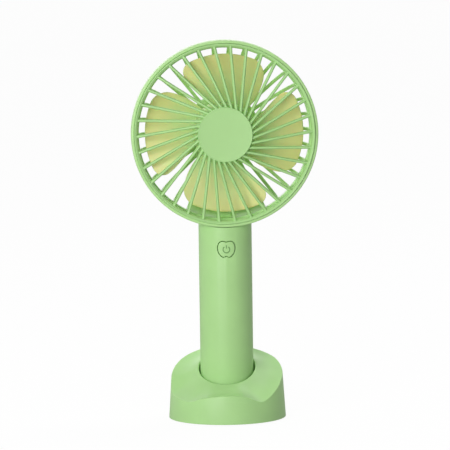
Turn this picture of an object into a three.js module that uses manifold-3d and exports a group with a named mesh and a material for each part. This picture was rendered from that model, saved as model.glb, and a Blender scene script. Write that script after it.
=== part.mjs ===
// Handheld electric fan standing in its desk stand.
//
// Frame: millimetres, +Z up, origin at the centre of the stand's underside. The fan blows towards -Y,
// and +X is to the right of somebody who looks at its front.
// Directions around the head are clockwise angles from the top, as seen from the front.
// Azimuths around the stand are measured from the front (-Y) towards +X.

import * as THREE from 'three';
import { mergeVertices } from 'three/addons/utils/BufferGeometryUtils.js';
import Module from 'manifold-3d';

const wasm = await Module();
wasm.setup();

// ---------------------------------------------------------------- driving dimensions

const GAP = 0.3; // between parts that touch
const RAD = Math.PI / 180;
const ROUND = 48; // sides of the large round parts
const MEDIUM = 32;
const SMALL = 16;
const TINY = 10;

// Head
const HEAD_Z = 156.9;
const RIM_OUTER_R = 50.7;
const RIM_WALL = 1.6;
const RIM_FRONT_Y = -15.2;
const RIM_REAR_Y = -2.6;
const RIM_INNER_R = RIM_OUTER_R - RIM_WALL;
const SEAT_INNER_R = 46.4;
const SEAT_FRONT_Y = -8.0;

// Front guard
const GUARD_OUTER_R = RIM_INNER_R - GAP;
const GUARD_INNER_R = 46.9;
const GUARD_FRONT_Y = -16.4;
const GUARD_SKIRT_Y = -8.6;
const GUARD_HUB_R = 14.8;
const GUARD_HUB_FRONT_Y = -20.6;
const GUARD_HUB_REAR_Y = -17.4;
const SPOKES = 34;
const SPOKE_PITCH = 360 / SPOKES;
const SPOKE_FIRST = 4.27; // clockwise angle of the first spoke at the ring
const SPOKE_SLANT = 22; // how far a front spoke has turned when it meets the hub
const FRONT_SPOKE_CREST = 0.8; // width at the front of the tapered section
const FRONT_SPOKE_BASE = 1.9;
const FRONT_SPOKE_DEPTH = 1.8;
const SPOKE_FOOT = 1.3; // how far a front spoke runs onto the ring

// Bayonet lock of the front guard
const LUG_ANGLES = [30, 150, 270];
const LUG_HALF_ANGLE = 4.5;
const LUG_OUTER_R = 49.5;
const LUG_SLOT_R = LUG_OUTER_R + GAP;
const LUG_FRONT_Y = -11.2;
const LUG_REAR_Y = -9.6;
const LOCK_TURN = 15;

// Rear guard: the spokes follow a quarter ellipse from the rim back to the hub
const BOWL_FRONT_Y = -5.0;
const BOWL_DEPTH = 21.0;
const BOWL_RIM_R = 47.7;
const REAR_HUB_R = 20.3;
const REAR_SPOKE_WIDTH = 1.9;
const REAR_SPOKE_DEPTH = 2.2;
const WEB_FIRST_SPOKE = 14; // the gaps between these spokes are closed above the handle
const WEB_LAST_SPOKE = 19;
const WEB_THICKNESS = 1.8;
const DUCT_WIDTH = 6.4; // closed duct for the motor leads, down the middle of the bowl
const DUCT_INWARD = 2.8;
const DUCT_BORE_WIDTH = 3.6;
const DUCT_BORE_DEPTH = 2.1;
const DUCT_STEPS = 6;

// Rotor
const ROTOR_TIP_R = 43.1;
const ROTOR_HUB_R = 17.1;
const ROTOR_HUB_WALL = 1.4;
const ROTOR_HUB_FRONT_Y = -14.8;
const ROTOR_HUB_REAR_Y = 2.0;
const BLADES = 4;
const BLADE_MID_Y = -6.0;
const BLADE_RISE_PER_RAD = 9.9; // axial rise of the screw surface
const BLADE_THICKNESS = 1.2;
const BLADE_CORNER_R = 6.4;
const BLADE_FIRST = 0.6; // clockwise angle of the middle of the first blade

// Motor
const MOTOR_R = 10.2;
const MOTOR_FRONT_Y = -3.0;
const MOTOR_REAR_Y = 11.0;
const SHAFT_R = 1.0;
const CLAMP_SCREW_X = 13.4;

// Handle
const HANDLE_R = 14.5;
const HANDLE_WALL = 1.6;
const HANDLE_BOTTOM_Z = 5.0;
const END_CAP_TOP_Z = 8.0;
const HANDLE_BORE_R = HANDLE_R - HANDLE_WALL;
const SHOULDER_Z = 111.0; // the back of the handle slopes down from here, at SHOULDER_Y
const SHOULDER_Y = 5.0;
const SHOULDER_SLOPE = 0.95;
const NECK_SCREW_Z = 101.0;
const LOWER_SCREW_Z = 81.5;

// Electrics
const BUTTON_Z = 94.1;
const BUTTON_FLANGE = 0.6;
const BUTTON_TRAVEL = 0.5;
const SWITCH_FRONT_Y = 0.2;
const PORT_Z = 91.5;
const BOARD_FRONT_Y = 4.0;
const BOARD_THICKNESS = 1.6;
const BOARD_TOP_Z = 97.0;
const CELL_R = 9.2;
const CELL_Y = 2.5;
const CELL_BOTTOM_Z = 11.5;
const CELL_TOP_Z = 76.5;
const TAB_THICKNESS = 0.4;
const LEAD_R = 0.5;

// Stand
const STAND_R = 32.0;
const STAND_TAPER = 0.063;
const STAND_WALL = 1.8;
const STAND_BOTTOM_Z = 0.6;
const SOCKET_R = 15.4;
const SOCKET_FLOOR_Z = 4.7;
const SOCKET_WALL = 1.6;
const STAND_PLATE_TOP_Z = 2.6;
const STAND_SCREW_RADIUS = 24.0;
const STAND_FOOT_RADIUS = 25.0;
const DISH_SAG = 1.6;
const STAND_TURN = 5; // the slanted socket rim is turned by this towards -X
const STAND_SIDES = 72;

// ---------------------------------------------------------------- materials

const plastic = (color, roughness) => new THREE.MeshStandardMaterial({ color, roughness, metalness: 0 });
const metal = (color, roughness) => new THREE.MeshStandardMaterial({ color, roughness, metalness: 1 });

const LIME = 0xabd38e;
const DEEP_LIME = 0x94c077;
const OLIVE = 0xb5c178;

// ---------------------------------------------------------------- solids

// A closed mesh with merged corners, as a solid that can be joined and cut.
function solid(geometry) {
  const bare = geometry.clone();
  bare.deleteAttribute('normal');
  bare.deleteAttribute('uv');
  const merged = mergeVertices(bare, 1e-4);
  return new wasm.Manifold(new wasm.Mesh({
    numProp: 3,
    vertProperties: new Float32Array(merged.attributes.position.array),
    triVerts: new Uint32Array(merged.index.array),
  }));
}

function geometryOf(manifold) {
  const mesh = manifold.getMesh();
  const geometry = new THREE.BufferGeometry();
  geometry.setAttribute('position', new THREE.BufferAttribute(new Float32Array(mesh.vertProperties), 3));
  geometry.setIndex(new THREE.BufferAttribute(new Uint32Array(mesh.triVerts), 1));
  geometry.computeVertexNormals();
  return geometry;
}

const joined = (first, ...others) => others.reduce((sum, other) => sum.add(other), first);
const cut = (first, ...others) => others.reduce((rest, other) => rest.subtract(other), first);

// Solid of revolution about Y. The profile runs counter-clockwise in the (radius, y) plane.
function turnedY(profile, segments = ROUND) {
  return solid(new THREE.LatheGeometry(profile.map(([r, y]) => new THREE.Vector2(r, y)), segments));
}

// The same about Z, with the profile in the (radius, z) plane.
function turnedZ(profile, segments = ROUND) {
  const points = profile.map(([r, z]) => new THREE.Vector2(r, z));
  return solid(new THREE.LatheGeometry(points, segments).rotateX(90 * RAD));
}

function cylinderY(radius, yFrom, yTo, x = 0, z = 0, segments = SMALL) {
  const geometry = new THREE.CylinderGeometry(radius, radius, yTo - yFrom, segments);
  return solid(geometry.translate(x, (yFrom + yTo) / 2, z));
}

function cylinderZ(radius, zFrom, zTo, x = 0, y = 0, segments = SMALL) {
  const geometry = new THREE.CylinderGeometry(radius, radius, zTo - zFrom, segments);
  return solid(geometry.rotateX(90 * RAD).translate(x, y, (zFrom + zTo) / 2));
}

function block([x0, x1], [y0, y1], [z0, z1]) {
  const geometry = new THREE.BoxGeometry(x1 - x0, y1 - y0, z1 - z0);
  return solid(geometry.translate((x0 + x1) / 2, (y0 + y1) / 2, (z0 + z1) / 2));
}

// A flat outline in the XZ plane, extruded along Y.
function extrudedY(shape, yFrom, yTo) {
  const options = { depth: yTo - yFrom, bevelEnabled: false, curveSegments: 6 };
  const geometry = new THREE.ExtrudeGeometry(shape, options);
  return solid(geometry.rotateX(90 * RAD).translate(0, yTo, 0));
}

// A piece of a ring about the Y axis, between two clockwise angles in degrees.
function arcBlock(rInner, rOuter, from, to, yFrom, yTo) {
  const start = (90 - from) * RAD;
  const end = (90 - to) * RAD;
  const shape = new THREE.Shape();
  shape.absarc(0, 0, rOuter, start, end, true);
  shape.absarc(0, 0, rInner, end, start, false);
  shape.closePath();
  return extrudedY(shape, yFrom, yTo);
}

// Skin over a row of closed sections with the same even number of points. Point i of a section faces
// point (count - 1 - i), which is how the two ends are closed.
function loft(sections) {
  const count = sections[0].length;
  const positions = sections.flat(2);
  const index = [];
  for (let s = 0; s + 1 < sections.length; s += 1) {
    for (let i = 0; i < count; i += 1) {
      const a = s * count + i;
      const b = s * count + ((i + 1) % count);
      index.push(a, b, a + count, b, b + count, a + count);
    }
  }
  const last = (sections.length - 1) * count;
  for (let i = 0; i + 1 < count / 2; i += 1) {
    const j = count - 1 - i;
    index.push(i, j, i + 1, i + 1, j, j - 1);
    index.push(last + i, last + i + 1, last + j, last + i + 1, last + j - 1, last + j);
  }
  const geometry = new THREE.BufferGeometry();
  geometry.setAttribute('position', new THREE.Float32BufferAttribute(positions, 3));
  geometry.setIndex(index);
  const body = solid(geometry);
  if (body.volume() > 0) return body;
  geometry.setIndex(index.slice().reverse());
  return solid(geometry);
}

// Round lead along a smooth route of points.
function lead(points) {
  const route = new THREE.CatmullRomCurve3(points.map((p) => new THREE.Vector3(...p)), false, 'centripetal');
  const section = new THREE.Shape().absarc(0, 0, LEAD_R, 0, 2 * Math.PI, false);
  return solid(new THREE.ExtrudeGeometry(section, {
    steps: 2 * points.length,
    curveSegments: 3,
    bevelEnabled: false,
    extrudePath: route,
  }));
}

// A point on the head, by clockwise angle from the top.
const onHead = (degrees, r, y) => [r * Math.sin(degrees * RAD), y, r * Math.cos(degrees * RAD)];

// ---------------------------------------------------------------- scene graph

const fan = new THREE.Group();
const head = new THREE.Group();
head.position.z = HEAD_Z;
fan.add(head);

function place(parent, name, body, material) {
  const mesh = new THREE.Mesh(geometryOf(body), material);
  mesh.name = name;
  parent.add(mesh);
}

// ---------------------------------------------------------------- stand

// Azimuth and height of points on the crease between the wall and the sloping top, once around.
const CREASE = [
  [-97, 23.9], [-86, 18.8], [-78, 15.4], [-66, 13.5], [-52, 12.5], [-43, 12.2], [-34, 13.5],
  [-25, 14.9], [-5, 16.0], [16, 15.3], [25, 13.4], [33, 11.9], [40, 12.6], [60, 18.0],
  [72, 21.6], [90, 25.6], [120, 31.5], [175, 36.1], [220, 32.9],
];

// Crease point by its number, which may run past the ends of the list.
function creasePoint(k) {
  const turns = Math.floor(k / CREASE.length);
  const [degrees, z] = CREASE[k - turns * CREASE.length];
  return [degrees + 360 * turns, z];
}

// Height of the crease at an azimuth, on a smooth curve through the crease points.
function creaseZ(azimuth) {
  const start = CREASE[0][0];
  const degrees = start + THREE.MathUtils.euclideanModulo(azimuth / RAD - start, 360);
  const k = CREASE.findLastIndex(([from]) => from <= degrees);
  const [before, here, next, after] = [k - 1, k, k + 1, k + 2].map(creasePoint);
  const slope = ([a, za], [b, zb]) => (zb - za) / (b - a);
  const span = next[0] - here[0];
  const t = (degrees - here[0]) / span;
  const bend = slope(before, next) * (1 - t) - slope(here, after) * t;
  return here[1] + (next[1] - here[1]) * t * t * (3 - 2 * t) + span * t * (1 - t) * bend;
}

const socketRimZ = (azimuth) => 28.4 - 7.7 * Math.cos(azimuth + STAND_TURN * RAD);
const standRadius = (z) => STAND_R - STAND_TAPER * z;

const DISH_STEPS = [1, 0.75, 0.5, 0.25, 0];

// Radius and height on the dished top, from the socket (t = 0) to the crease (t = 1).
function dishPoint(azimuth, t) {
  const outerZ = creaseZ(azimuth);
  const r = SOCKET_R + (standRadius(outerZ) - SOCKET_R) * t;
  const z = socketRimZ(azimuth) + (outerZ - socketRimZ(azimuth)) * t - DISH_SAG * Math.sin(Math.PI * t);
  return [r, z];
}

// The stand as if it were solid, up to the middle of its top wall.
function filledProfile(azimuth) {
  const top = DISH_STEPS.map((t) => dishPoint(azimuth, t)).map(([r, z]) => [r, z - STAND_WALL / 2]);
  return [[0, STAND_BOTTOM_Z], [standRadius(0), STAND_BOTTOM_Z], ...top, [0, socketRimZ(Math.PI / 2)]];
}

function standProfile(azimuth) {
  const top = DISH_STEPS.map((t) => dishPoint(azimuth, t));
  const under = DISH_STEPS.map((t) => {
    const [r, z] = dishPoint(azimuth, t);
    const inset = STAND_WALL * (t - 0.5) * 2;
    return [r - inset, z - STAND_WALL];
  }).reverse();
  return [
    [0, SOCKET_FLOOR_Z - SOCKET_WALL],
    [SOCKET_R + SOCKET_WALL, SOCKET_FLOOR_Z - SOCKET_WALL],
    ...under,
    [STAND_R - STAND_WALL, STAND_BOTTOM_Z],
    [STAND_R, STAND_BOTTOM_Z],
    ...top,
    [SOCKET_R, SOCKET_FLOOR_Z],
    [0, SOCKET_FLOOR_Z],
  ];
}

// Closed body whose profile changes with the azimuth and starts and ends on the Z axis.
function polarBody(profileAt, segments) {
  const positions = [];
  const index = [];
  const count = profileAt(0).length;
  for (let s = 0; s < segments; s += 1) {
    const azimuth = (2 * Math.PI * s) / segments;
    for (const [r, z] of profileAt(azimuth)) {
      positions.push(r * Math.sin(azimuth), -r * Math.cos(azimuth), z);
    }
    for (let i = 0; i + 1 < count; i += 1) {
      const a = s * count + i;
      const b = ((s + 1) % segments) * count + i;
      if (i > 0) index.push(a, b, a + 1);
      if (i + 2 < count) index.push(b, b + 1, a + 1);
    }
  }
  const geometry = new THREE.BufferGeometry();
  geometry.setAttribute('position', new THREE.Float32BufferAttribute(positions, 3));
  geometry.setIndex(index);
  return solid(geometry);
}

const onStand = (degrees, r) => [r * Math.sin(degrees * RAD), -r * Math.cos(degrees * RAD)];
const STAND_SCREWS = { front: 0, right: 90, back: 180, left: 270 };
const STAND_FEET = { front_right: 45, back_right: 135, back_left: 225, front_left: 315 };

function makeStand() {
  let shell = polarBody(standProfile, STAND_SIDES);
  const filled = polarBody(filledProfile, STAND_SIDES);
  for (const degrees of Object.values(STAND_SCREWS)) {
    const [x, y] = onStand(degrees, STAND_SCREW_RADIUS);
    const boss = cylinderZ(2.8, STAND_PLATE_TOP_Z + GAP, 40, x, y, TINY).intersect(filled);
    shell = cut(joined(shell, boss), cylinderZ(1.2, 1.0, 11.5, x, y, TINY));
  }
  for (const degrees of [45, 135, 225, 315]) {
    const [x, y] = onStand(degrees, SOCKET_R + 0.2);
    const rib = solid(new THREE.BoxGeometry(1.6, 1.4, 11).rotateZ(degrees * RAD).translate(x, y, 9.8));
    shell = joined(shell, rib);
  }
  place(fan, 'stand_shell', shell, plastic(LIME, 0.45));

  let plate = cylinderZ(STAND_R - STAND_WALL - GAP, STAND_BOTTOM_Z, STAND_PLATE_TOP_Z, 0, 0, ROUND);
  for (const [side, degrees] of Object.entries(STAND_SCREWS)) {
    const [x, y] = onStand(degrees, STAND_SCREW_RADIUS);
    plate = cut(plate, cylinderZ(2.7, 0, 1.8, x, y), cylinderZ(1.2, 1, 3, x, y, TINY));
    const screw = joined(cylinderZ(2.4, 0.8, 1.5, x, y), cylinderZ(0.9, 1.2, 10.5, x, y, TINY));
    place(fan, `stand_screw_${side}`, screw, metal(0xb9bcc0, 0.3));
  }
  for (const [side, degrees] of Object.entries(STAND_FEET)) {
    const [x, y] = onStand(degrees, STAND_FOOT_RADIUS);
    plate = cut(plate, cylinderZ(4.3, 0, 1.6, x, y));
    place(fan, `stand_foot_${side}`, cylinderZ(4.0, 0, 1.3, x, y), plastic(0xdfe3dc, 0.9));
  }
  place(fan, 'stand_plate', plate, plastic(LIME, 0.5));
}

// ---------------------------------------------------------------- handle

// Outer surface of the rear guard, grown by a clearance, with everything in front of it.
function guardEnvelope(clearance) {
  const profile = [
    [0, -30], [RIM_OUTER_R + clearance, -30], [RIM_OUTER_R + clearance, RIM_REAR_Y - 1.6],
    [RIM_OUTER_R - 1.2 + clearance, RIM_REAR_Y + clearance],
  ];
  for (let along = 12; along <= 76; along += 8) {
    profile.push(bowlPoint(along, REAR_SPOKE_DEPTH / 2 + clearance));
  }
  profile.push([0, profile.at(-1)[1]]);
  return turnedY(profile, 2 * ROUND).translate(0, 0, HEAD_Z);
}

// Space above the sloping shoulder at the back of the handle.
function aboveShoulder(drop) {
  const angle = Math.atan(SHOULDER_SLOPE);
  const geometry = new THREE.BoxGeometry(60, 80, 60).translate(0, 0, 30);
  geometry.rotateX(-angle).translate(0, SHOULDER_Y, SHOULDER_Z - drop);
  return solid(geometry);
}

// Fruit-shaped outline of the button, in the XZ plane about its own centre.
function buttonShape(grow) {
  const half = [
    [0, 3.8], [1.3, 4.2], [2.75, 4.2], [4.0, 3.2], [4.6, 1.0], [4.25, -1.3], [3.65, -2.45],
    [2.75, -3.45], [1.45, -4.2], [0.6, -3.8], [0, -3.55],
  ];
  const points = [...half, ...half.slice(1, -1).reverse().map(([x, z]) => [-x, z])];
  return new THREE.Shape(points.map(([x, z]) => {
    const length = Math.hypot(x, z);
    return new THREE.Vector2(x * (1 + grow / length), z * (1 + grow / length));
  }));
}

const handleBlank = () => turnedZ([
  [0, END_CAP_TOP_Z + GAP], [HANDLE_R, END_CAP_TOP_Z + GAP], [HANDLE_R, 130], [0, 130],
]);

const handleBore = () => turnedZ([
  [0, 4], [HANDLE_BORE_R, 4], [HANDLE_BORE_R, 130], [0, 130],
]);

function makeHandle() {
  const outside = cut(handleBlank(), guardEnvelope(GAP), aboveShoulder(0));
  const hollow = cut(handleBore(), guardEnvelope(GAP + HANDLE_WALL), aboveShoulder(HANDLE_WALL * 1.4));
  const frontHalf = block([-40, 40], [-40, -GAP / 2], [0, 140]);
  const rearHalf = block([-40, 40], [GAP / 2, 40], [0, 140]);
  const tube = cut(outside, hollow);

  let front = tube.intersect(frontHalf);
  front = joined(
    front,
    cylinderY(2.2, -13.5, -4.3, 0, NECK_SCREW_Z),
    cylinderY(2.2, -13.5, -0.5, 0, LOWER_SCREW_Z),
  );
  front = cut(
    front,
    cylinderY(1.2, -11.0, 0, 0, NECK_SCREW_Z, TINY),
    cylinderY(1.2, -11.0, 0, 0, LOWER_SCREW_Z, TINY),
    block([-7.3, 7.3], [-4.3, 0], [96.7, 112]),
    extrudedY(buttonShape(0.3), -20, -10).translate(0, 0, BUTTON_Z),
  );
  place(fan, 'handle_front_shell', front, plastic(LIME, 0.45));

  let rear = tube.intersect(rearHalf);
  rear = joined(
    rear,
    cylinderY(3.6, GAP / 2, 13.4, 0, NECK_SCREW_Z),
    cylinderY(3.6, 0.5, 13.4, 0, LOWER_SCREW_Z),
  );
  for (const z of [NECK_SCREW_Z, LOWER_SCREW_Z]) {
    rear = cut(rear, cylinderY(1.2, -1, 13, 0, z, TINY), cylinderY(2.5, 11.6, 16, 0, z));
  }
  rear = cut(
    rear,
    block([-2, 2], [0, 3.2], [104, 112]),
    block([-4.8, 4.8], [9, 16], [PORT_Z - 1.9, PORT_Z + 1.9]),
    cylinderY(1.3, 9, 16, 0, PORT_Z - 5.5),
  );
  place(fan, 'handle_rear_shell', rear, plastic(LIME, 0.45));

  const cap = turnedZ([
    [0, HANDLE_BOTTOM_Z], [13.3, HANDLE_BOTTOM_Z], [HANDLE_R, 6.2], [HANDLE_R, END_CAP_TOP_Z],
    [12.5, END_CAP_TOP_Z], [12.5, 10.5], [11.0, 10.5], [11.0, END_CAP_TOP_Z], [0, END_CAP_TOP_Z],
  ], MEDIUM);
  place(fan, 'handle_end_cap', cap, plastic(LIME, 0.45));

  const screws = { neck: NECK_SCREW_Z, lower: LOWER_SCREW_Z };
  for (const [name, z] of Object.entries(screws)) {
    const screw = joined(cylinderY(2.2, 11.9, 13.4, 0, z), cylinderY(0.9, -9, 12.5, 0, z, TINY));
    place(fan, `handle_screw_${name}`, screw, metal(0xb9bcc0, 0.3));
  }
}

// ---------------------------------------------------------------- electrics in the handle

function makeElectrics() {
  const boardRear = BOARD_FRONT_Y + BOARD_THICKNESS;
  const board = block([-9.5, 9.5], [BOARD_FRONT_Y, boardRear], [85.5, BOARD_TOP_Z]);
  place(fan, 'circuit_board', board, plastic(0x1f6b45, 0.5));
  const switchBody = block([-3, 3], [SWITCH_FRONT_Y, BOARD_FRONT_Y - GAP], [BUTTON_Z - 2.7, BUTTON_Z + 2.7]);
  place(fan, 'switch_body', switchBody, plastic(0x2a2a2c, 0.5));
  const plunger = cylinderY(1.6, -9.8, SWITCH_FRONT_Y - BUTTON_TRAVEL - 0.1, 0, BUTTON_Z);
  place(fan, 'switch_plunger', plunger, plastic(0x2a2a2c, 0.4));

  const portRear = 13.5;
  const portShell = cut(
    block([-4.4, 4.4], [boardRear + GAP, portRear], [PORT_Z - 1.6, PORT_Z + 1.6]),
    block([-4.0, 4.0], [boardRear + 1, portRear + 1], [PORT_Z - 1.2, PORT_Z + 1.2]),
  );
  place(fan, 'charge_port_shell', portShell, metal(0xc4c6c9, 0.25));
  const portInsert = joined(
    block([-3.7, 3.7], [boardRear + 1.3, 8.2], [PORT_Z - 0.9, PORT_Z + 0.9]),
    block([-3.3, 3.3], [8.0, 12.6], [PORT_Z - 0.35, PORT_Z + 0.35]),
  );
  place(fan, 'charge_port_insert', portInsert, plastic(0x232325, 0.5));
  const lightZ = PORT_Z - 5.5;
  place(fan, 'charge_light_lens', cylinderY(1.0, 11.2, 14.3, 0, lightZ), plastic(0xf2f4ef, 0.2));
  const diode = block([-0.8, 0.8], [boardRear + GAP, 6.9], [lightZ - 0.5, lightZ + 0.5]);
  place(fan, 'charge_light_diode', diode, plastic(0xf2e9b8, 0.3));

  const cell = cylinderZ(CELL_R, CELL_BOTTOM_Z, CELL_TOP_Z, 0, CELL_Y, MEDIUM);
  place(fan, 'battery_cell', cell, plastic(0x3a6fb0, 0.35));
  const tabs = { bottom: CELL_BOTTOM_Z - GAP - TAB_THICKNESS, top: CELL_TOP_Z + GAP };
  for (const [end, z] of Object.entries(tabs)) {
    const tab = block([-3.5, 3.5], [CELL_Y - 4, CELL_Y + 4], [z, z + TAB_THICKNESS]);
    place(fan, `cell_tab_${end}`, tab, metal(0xc9c5b8, 0.35));
  }
  const redLead = lead([[4.4, 3.0, 77.0], [5.2, 3.4, 79.0], [5.4, 4.0, 82.4], [5.4, 4.8, 85.1]]);
  place(fan, 'cell_lead_red', redLead, plastic(0xb5342c, 0.5));
  const blackLead = lead([
    [-4.4, 0, 11.0], [-5.6, -2.8, 10.5], [-6.9, -5.8, 11.4], [-6.4, -6.8, 16], [-6.2, -7.0, 40],
    [-6.2, -6.8, 70], [-6.2, -4.2, 79], [-5.6, 3.6, 82.5], [-5.6, 4.8, 85.1],
  ]);
  place(fan, 'cell_lead_black', blackLead, plastic(0x222224, 0.5));
}

// Button cap, flush with the round handle, with a flange that keeps it in.
function makeButton() {
  const flangeY = -11.0;
  const face = cylinderZ(HANDLE_R + 0.35, 60, 120, 0, 0, 2 * ROUND);
  const cap = extrudedY(buttonShape(0), -20, flangeY + 0.2).translate(0, 0, BUTTON_Z).intersect(face);
  const flange = extrudedY(buttonShape(BUTTON_FLANGE), flangeY, flangeY + 0.9).translate(0, 0, BUTTON_Z);
  place(fan, 'power_button', joined(cap, flange), plastic(LIME, 0.4));
}

// ---------------------------------------------------------------- rear guard

// Point on the bowl, by how far along it (0 at the rim, 90 at the hub), moved outwards by an offset.
function bowlPoint(degrees, offset = 0) {
  const a = BOWL_RIM_R - REAR_HUB_R;
  const cos = Math.cos(degrees * RAD);
  const sin = Math.sin(degrees * RAD);
  const length = Math.hypot(cos / a, sin / BOWL_DEPTH);
  return [
    REAR_HUB_R + a * cos + (offset * cos) / a / length,
    BOWL_FRONT_Y + BOWL_DEPTH * sin + (offset * sin) / BOWL_DEPTH / length,
  ];
}

// Bar that follows the bowl from one place to another at one clockwise angle.
function bowlBar(degrees, width, inward, outward, from, to, steps) {
  const sections = [];
  const side = onHead(degrees + 90, width / 2, 0);
  for (let i = 0; i <= steps; i += 1) {
    const along = from + ((to - from) * i) / steps;
    const inner = onHead(degrees, ...bowlPoint(along, -inward));
    const outer = onHead(degrees, ...bowlPoint(along, outward));
    sections.push([
      [inner[0] - side[0], inner[1], inner[2] - side[2]],
      [outer[0] - side[0], outer[1], outer[2] - side[2]],
      [outer[0] + side[0], outer[1], outer[2] + side[2]],
      [inner[0] + side[0], inner[1], inner[2] + side[2]],
    ]);
  }
  return loft(sections);
}

const spokeAngle = (k) => SPOKE_FIRST + SPOKE_PITCH * k;

// Closed skin between two spokes, following the bowl near the rim.
function makeWeb() {
  const first = spokeAngle(WEB_FIRST_SPOKE);
  const last = spokeAngle(WEB_LAST_SPOKE);
  const steps = 8;
  const alongs = [-4, 6, 16, 26, 36];
  const sections = [];
  for (let i = 0; i <= steps; i += 1) {
    const angle = first + ((last - first) * i) / steps;
    const outer = alongs.map((t) => onHead(angle, ...bowlPoint(t, WEB_THICKNESS / 2)));
    const inner = alongs.map((t) => onHead(angle, ...bowlPoint(t, -WEB_THICKNESS / 2))).reverse();
    sections.push([...outer, ...inner]);
  }
  return loft(sections);
}

function makeRearGuard() {
  const rim = turnedY([
    [RIM_INNER_R, RIM_FRONT_Y], [RIM_OUTER_R - 0.5, RIM_FRONT_Y], [RIM_OUTER_R, RIM_FRONT_Y + 0.6],
    [RIM_OUTER_R, RIM_REAR_Y - 1.8], [RIM_OUTER_R - 1.4, RIM_REAR_Y], [SEAT_INNER_R, RIM_REAR_Y],
    [SEAT_INNER_R, SEAT_FRONT_Y], [RIM_INNER_R, SEAT_FRONT_Y], [RIM_INNER_R, RIM_FRONT_Y],
  ]);
  const hub = turnedY([
    [0, 14.0], [10.6, 14.0], [10.6, MOTOR_FRONT_Y], [12.0, MOTOR_FRONT_Y], [12.0, 13.6],
    [REAR_HUB_R - 1.2, 13.6], [REAR_HUB_R, 14.6], [REAR_HUB_R, 16.2], [REAR_HUB_R - 0.9, 17.1], [0, 17.1],
  ], MEDIUM);
  let guard = joined(rim, hub, makeWeb());
  for (let k = 0; k < SPOKES; k += 1) {
    guard = joined(guard, bowlBar(spokeAngle(k), REAR_SPOKE_WIDTH, 1.1, 1.1, 0, 94, 4));
  }
  const tongue = cut(
    block([-7, 7], [-4.0, -1.2], [97 - HEAD_Z, 109 - HEAD_Z]),
    cylinderY(1.5, -6, 1, 0, NECK_SCREW_Z - HEAD_Z, TINY),
  );
  const duct = bowlBar(180, DUCT_WIDTH, DUCT_INWARD, REAR_SPOKE_DEPTH / 2, 12, 94, DUCT_STEPS);
  guard = joined(guard, duct, tongue);
  guard = cut(
    guard,
    bowlBar(180, DUCT_BORE_WIDTH, DUCT_BORE_DEPTH, 0, 14, 88, DUCT_STEPS),
    block([-1.8, 1.8], [10.9, 15.2], [-24, -9]), // from the duct into the motor's seat
    block([-1.9, 1.9], [0.2, 3.0], [100 - HEAD_Z, 112.2 - HEAD_Z]), // from the duct into the handle
  );
  for (const x of [-CLAMP_SCREW_X, CLAMP_SCREW_X]) {
    const towardsSeat = Math.sign(x) * 11.5;
    const post = joined(
      cylinderY(1.9, MOTOR_FRONT_Y, 14, x, 0, TINY),
      block([Math.min(x, towardsSeat), Math.max(x, towardsSeat)], [MOTOR_FRONT_Y + 0.2, 14], [-1.2, 1.2]),
    );
    guard = cut(joined(guard, post), cylinderY(1.0, -5, 8, x, 0, TINY));
  }
  for (const angle of LUG_ANGLES) {
    const reach = LUG_HALF_ANGLE + 1;
    const open = angle - LOCK_TURN;
    const slot = (to, yFrom, yTo) => arcBlock(RIM_INNER_R - 0.5, LUG_SLOT_R, open - reach, to, yFrom, yTo);
    guard = cut(
      guard,
      slot(angle + reach, LUG_FRONT_Y - GAP, LUG_REAR_Y + GAP),
      slot(open + reach, RIM_FRONT_Y - 1, LUG_REAR_Y),
    );
  }
  place(head, 'rear_guard', guard, plastic(DEEP_LIME, 0.5));
}

// ---------------------------------------------------------------- front guard

// Straight front spoke between two points. Its section tapers from the base to the crest.
function frontSpoke(from, to) {
  const start = new THREE.Vector3(...from);
  const end = new THREE.Vector3(...to);
  const along = end.clone().sub(start).normalize();
  const across = new THREE.Vector3(0, 1, 0).cross(along).normalize();
  const corner = (p, aside, back) => {
    const { x, y, z } = p.clone().addScaledVector(across, aside);
    return [x, y + back, z];
  };
  const sections = [start, end].map((p) => [
    corner(p, -FRONT_SPOKE_CREST / 2, -FRONT_SPOKE_DEPTH / 2),
    corner(p, -FRONT_SPOKE_BASE / 2, FRONT_SPOKE_DEPTH / 2),
    corner(p, FRONT_SPOKE_BASE / 2, FRONT_SPOKE_DEPTH / 2),
    corner(p, FRONT_SPOKE_CREST / 2, -FRONT_SPOKE_DEPTH / 2),
  ]);
  return loft(sections);
}

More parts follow.
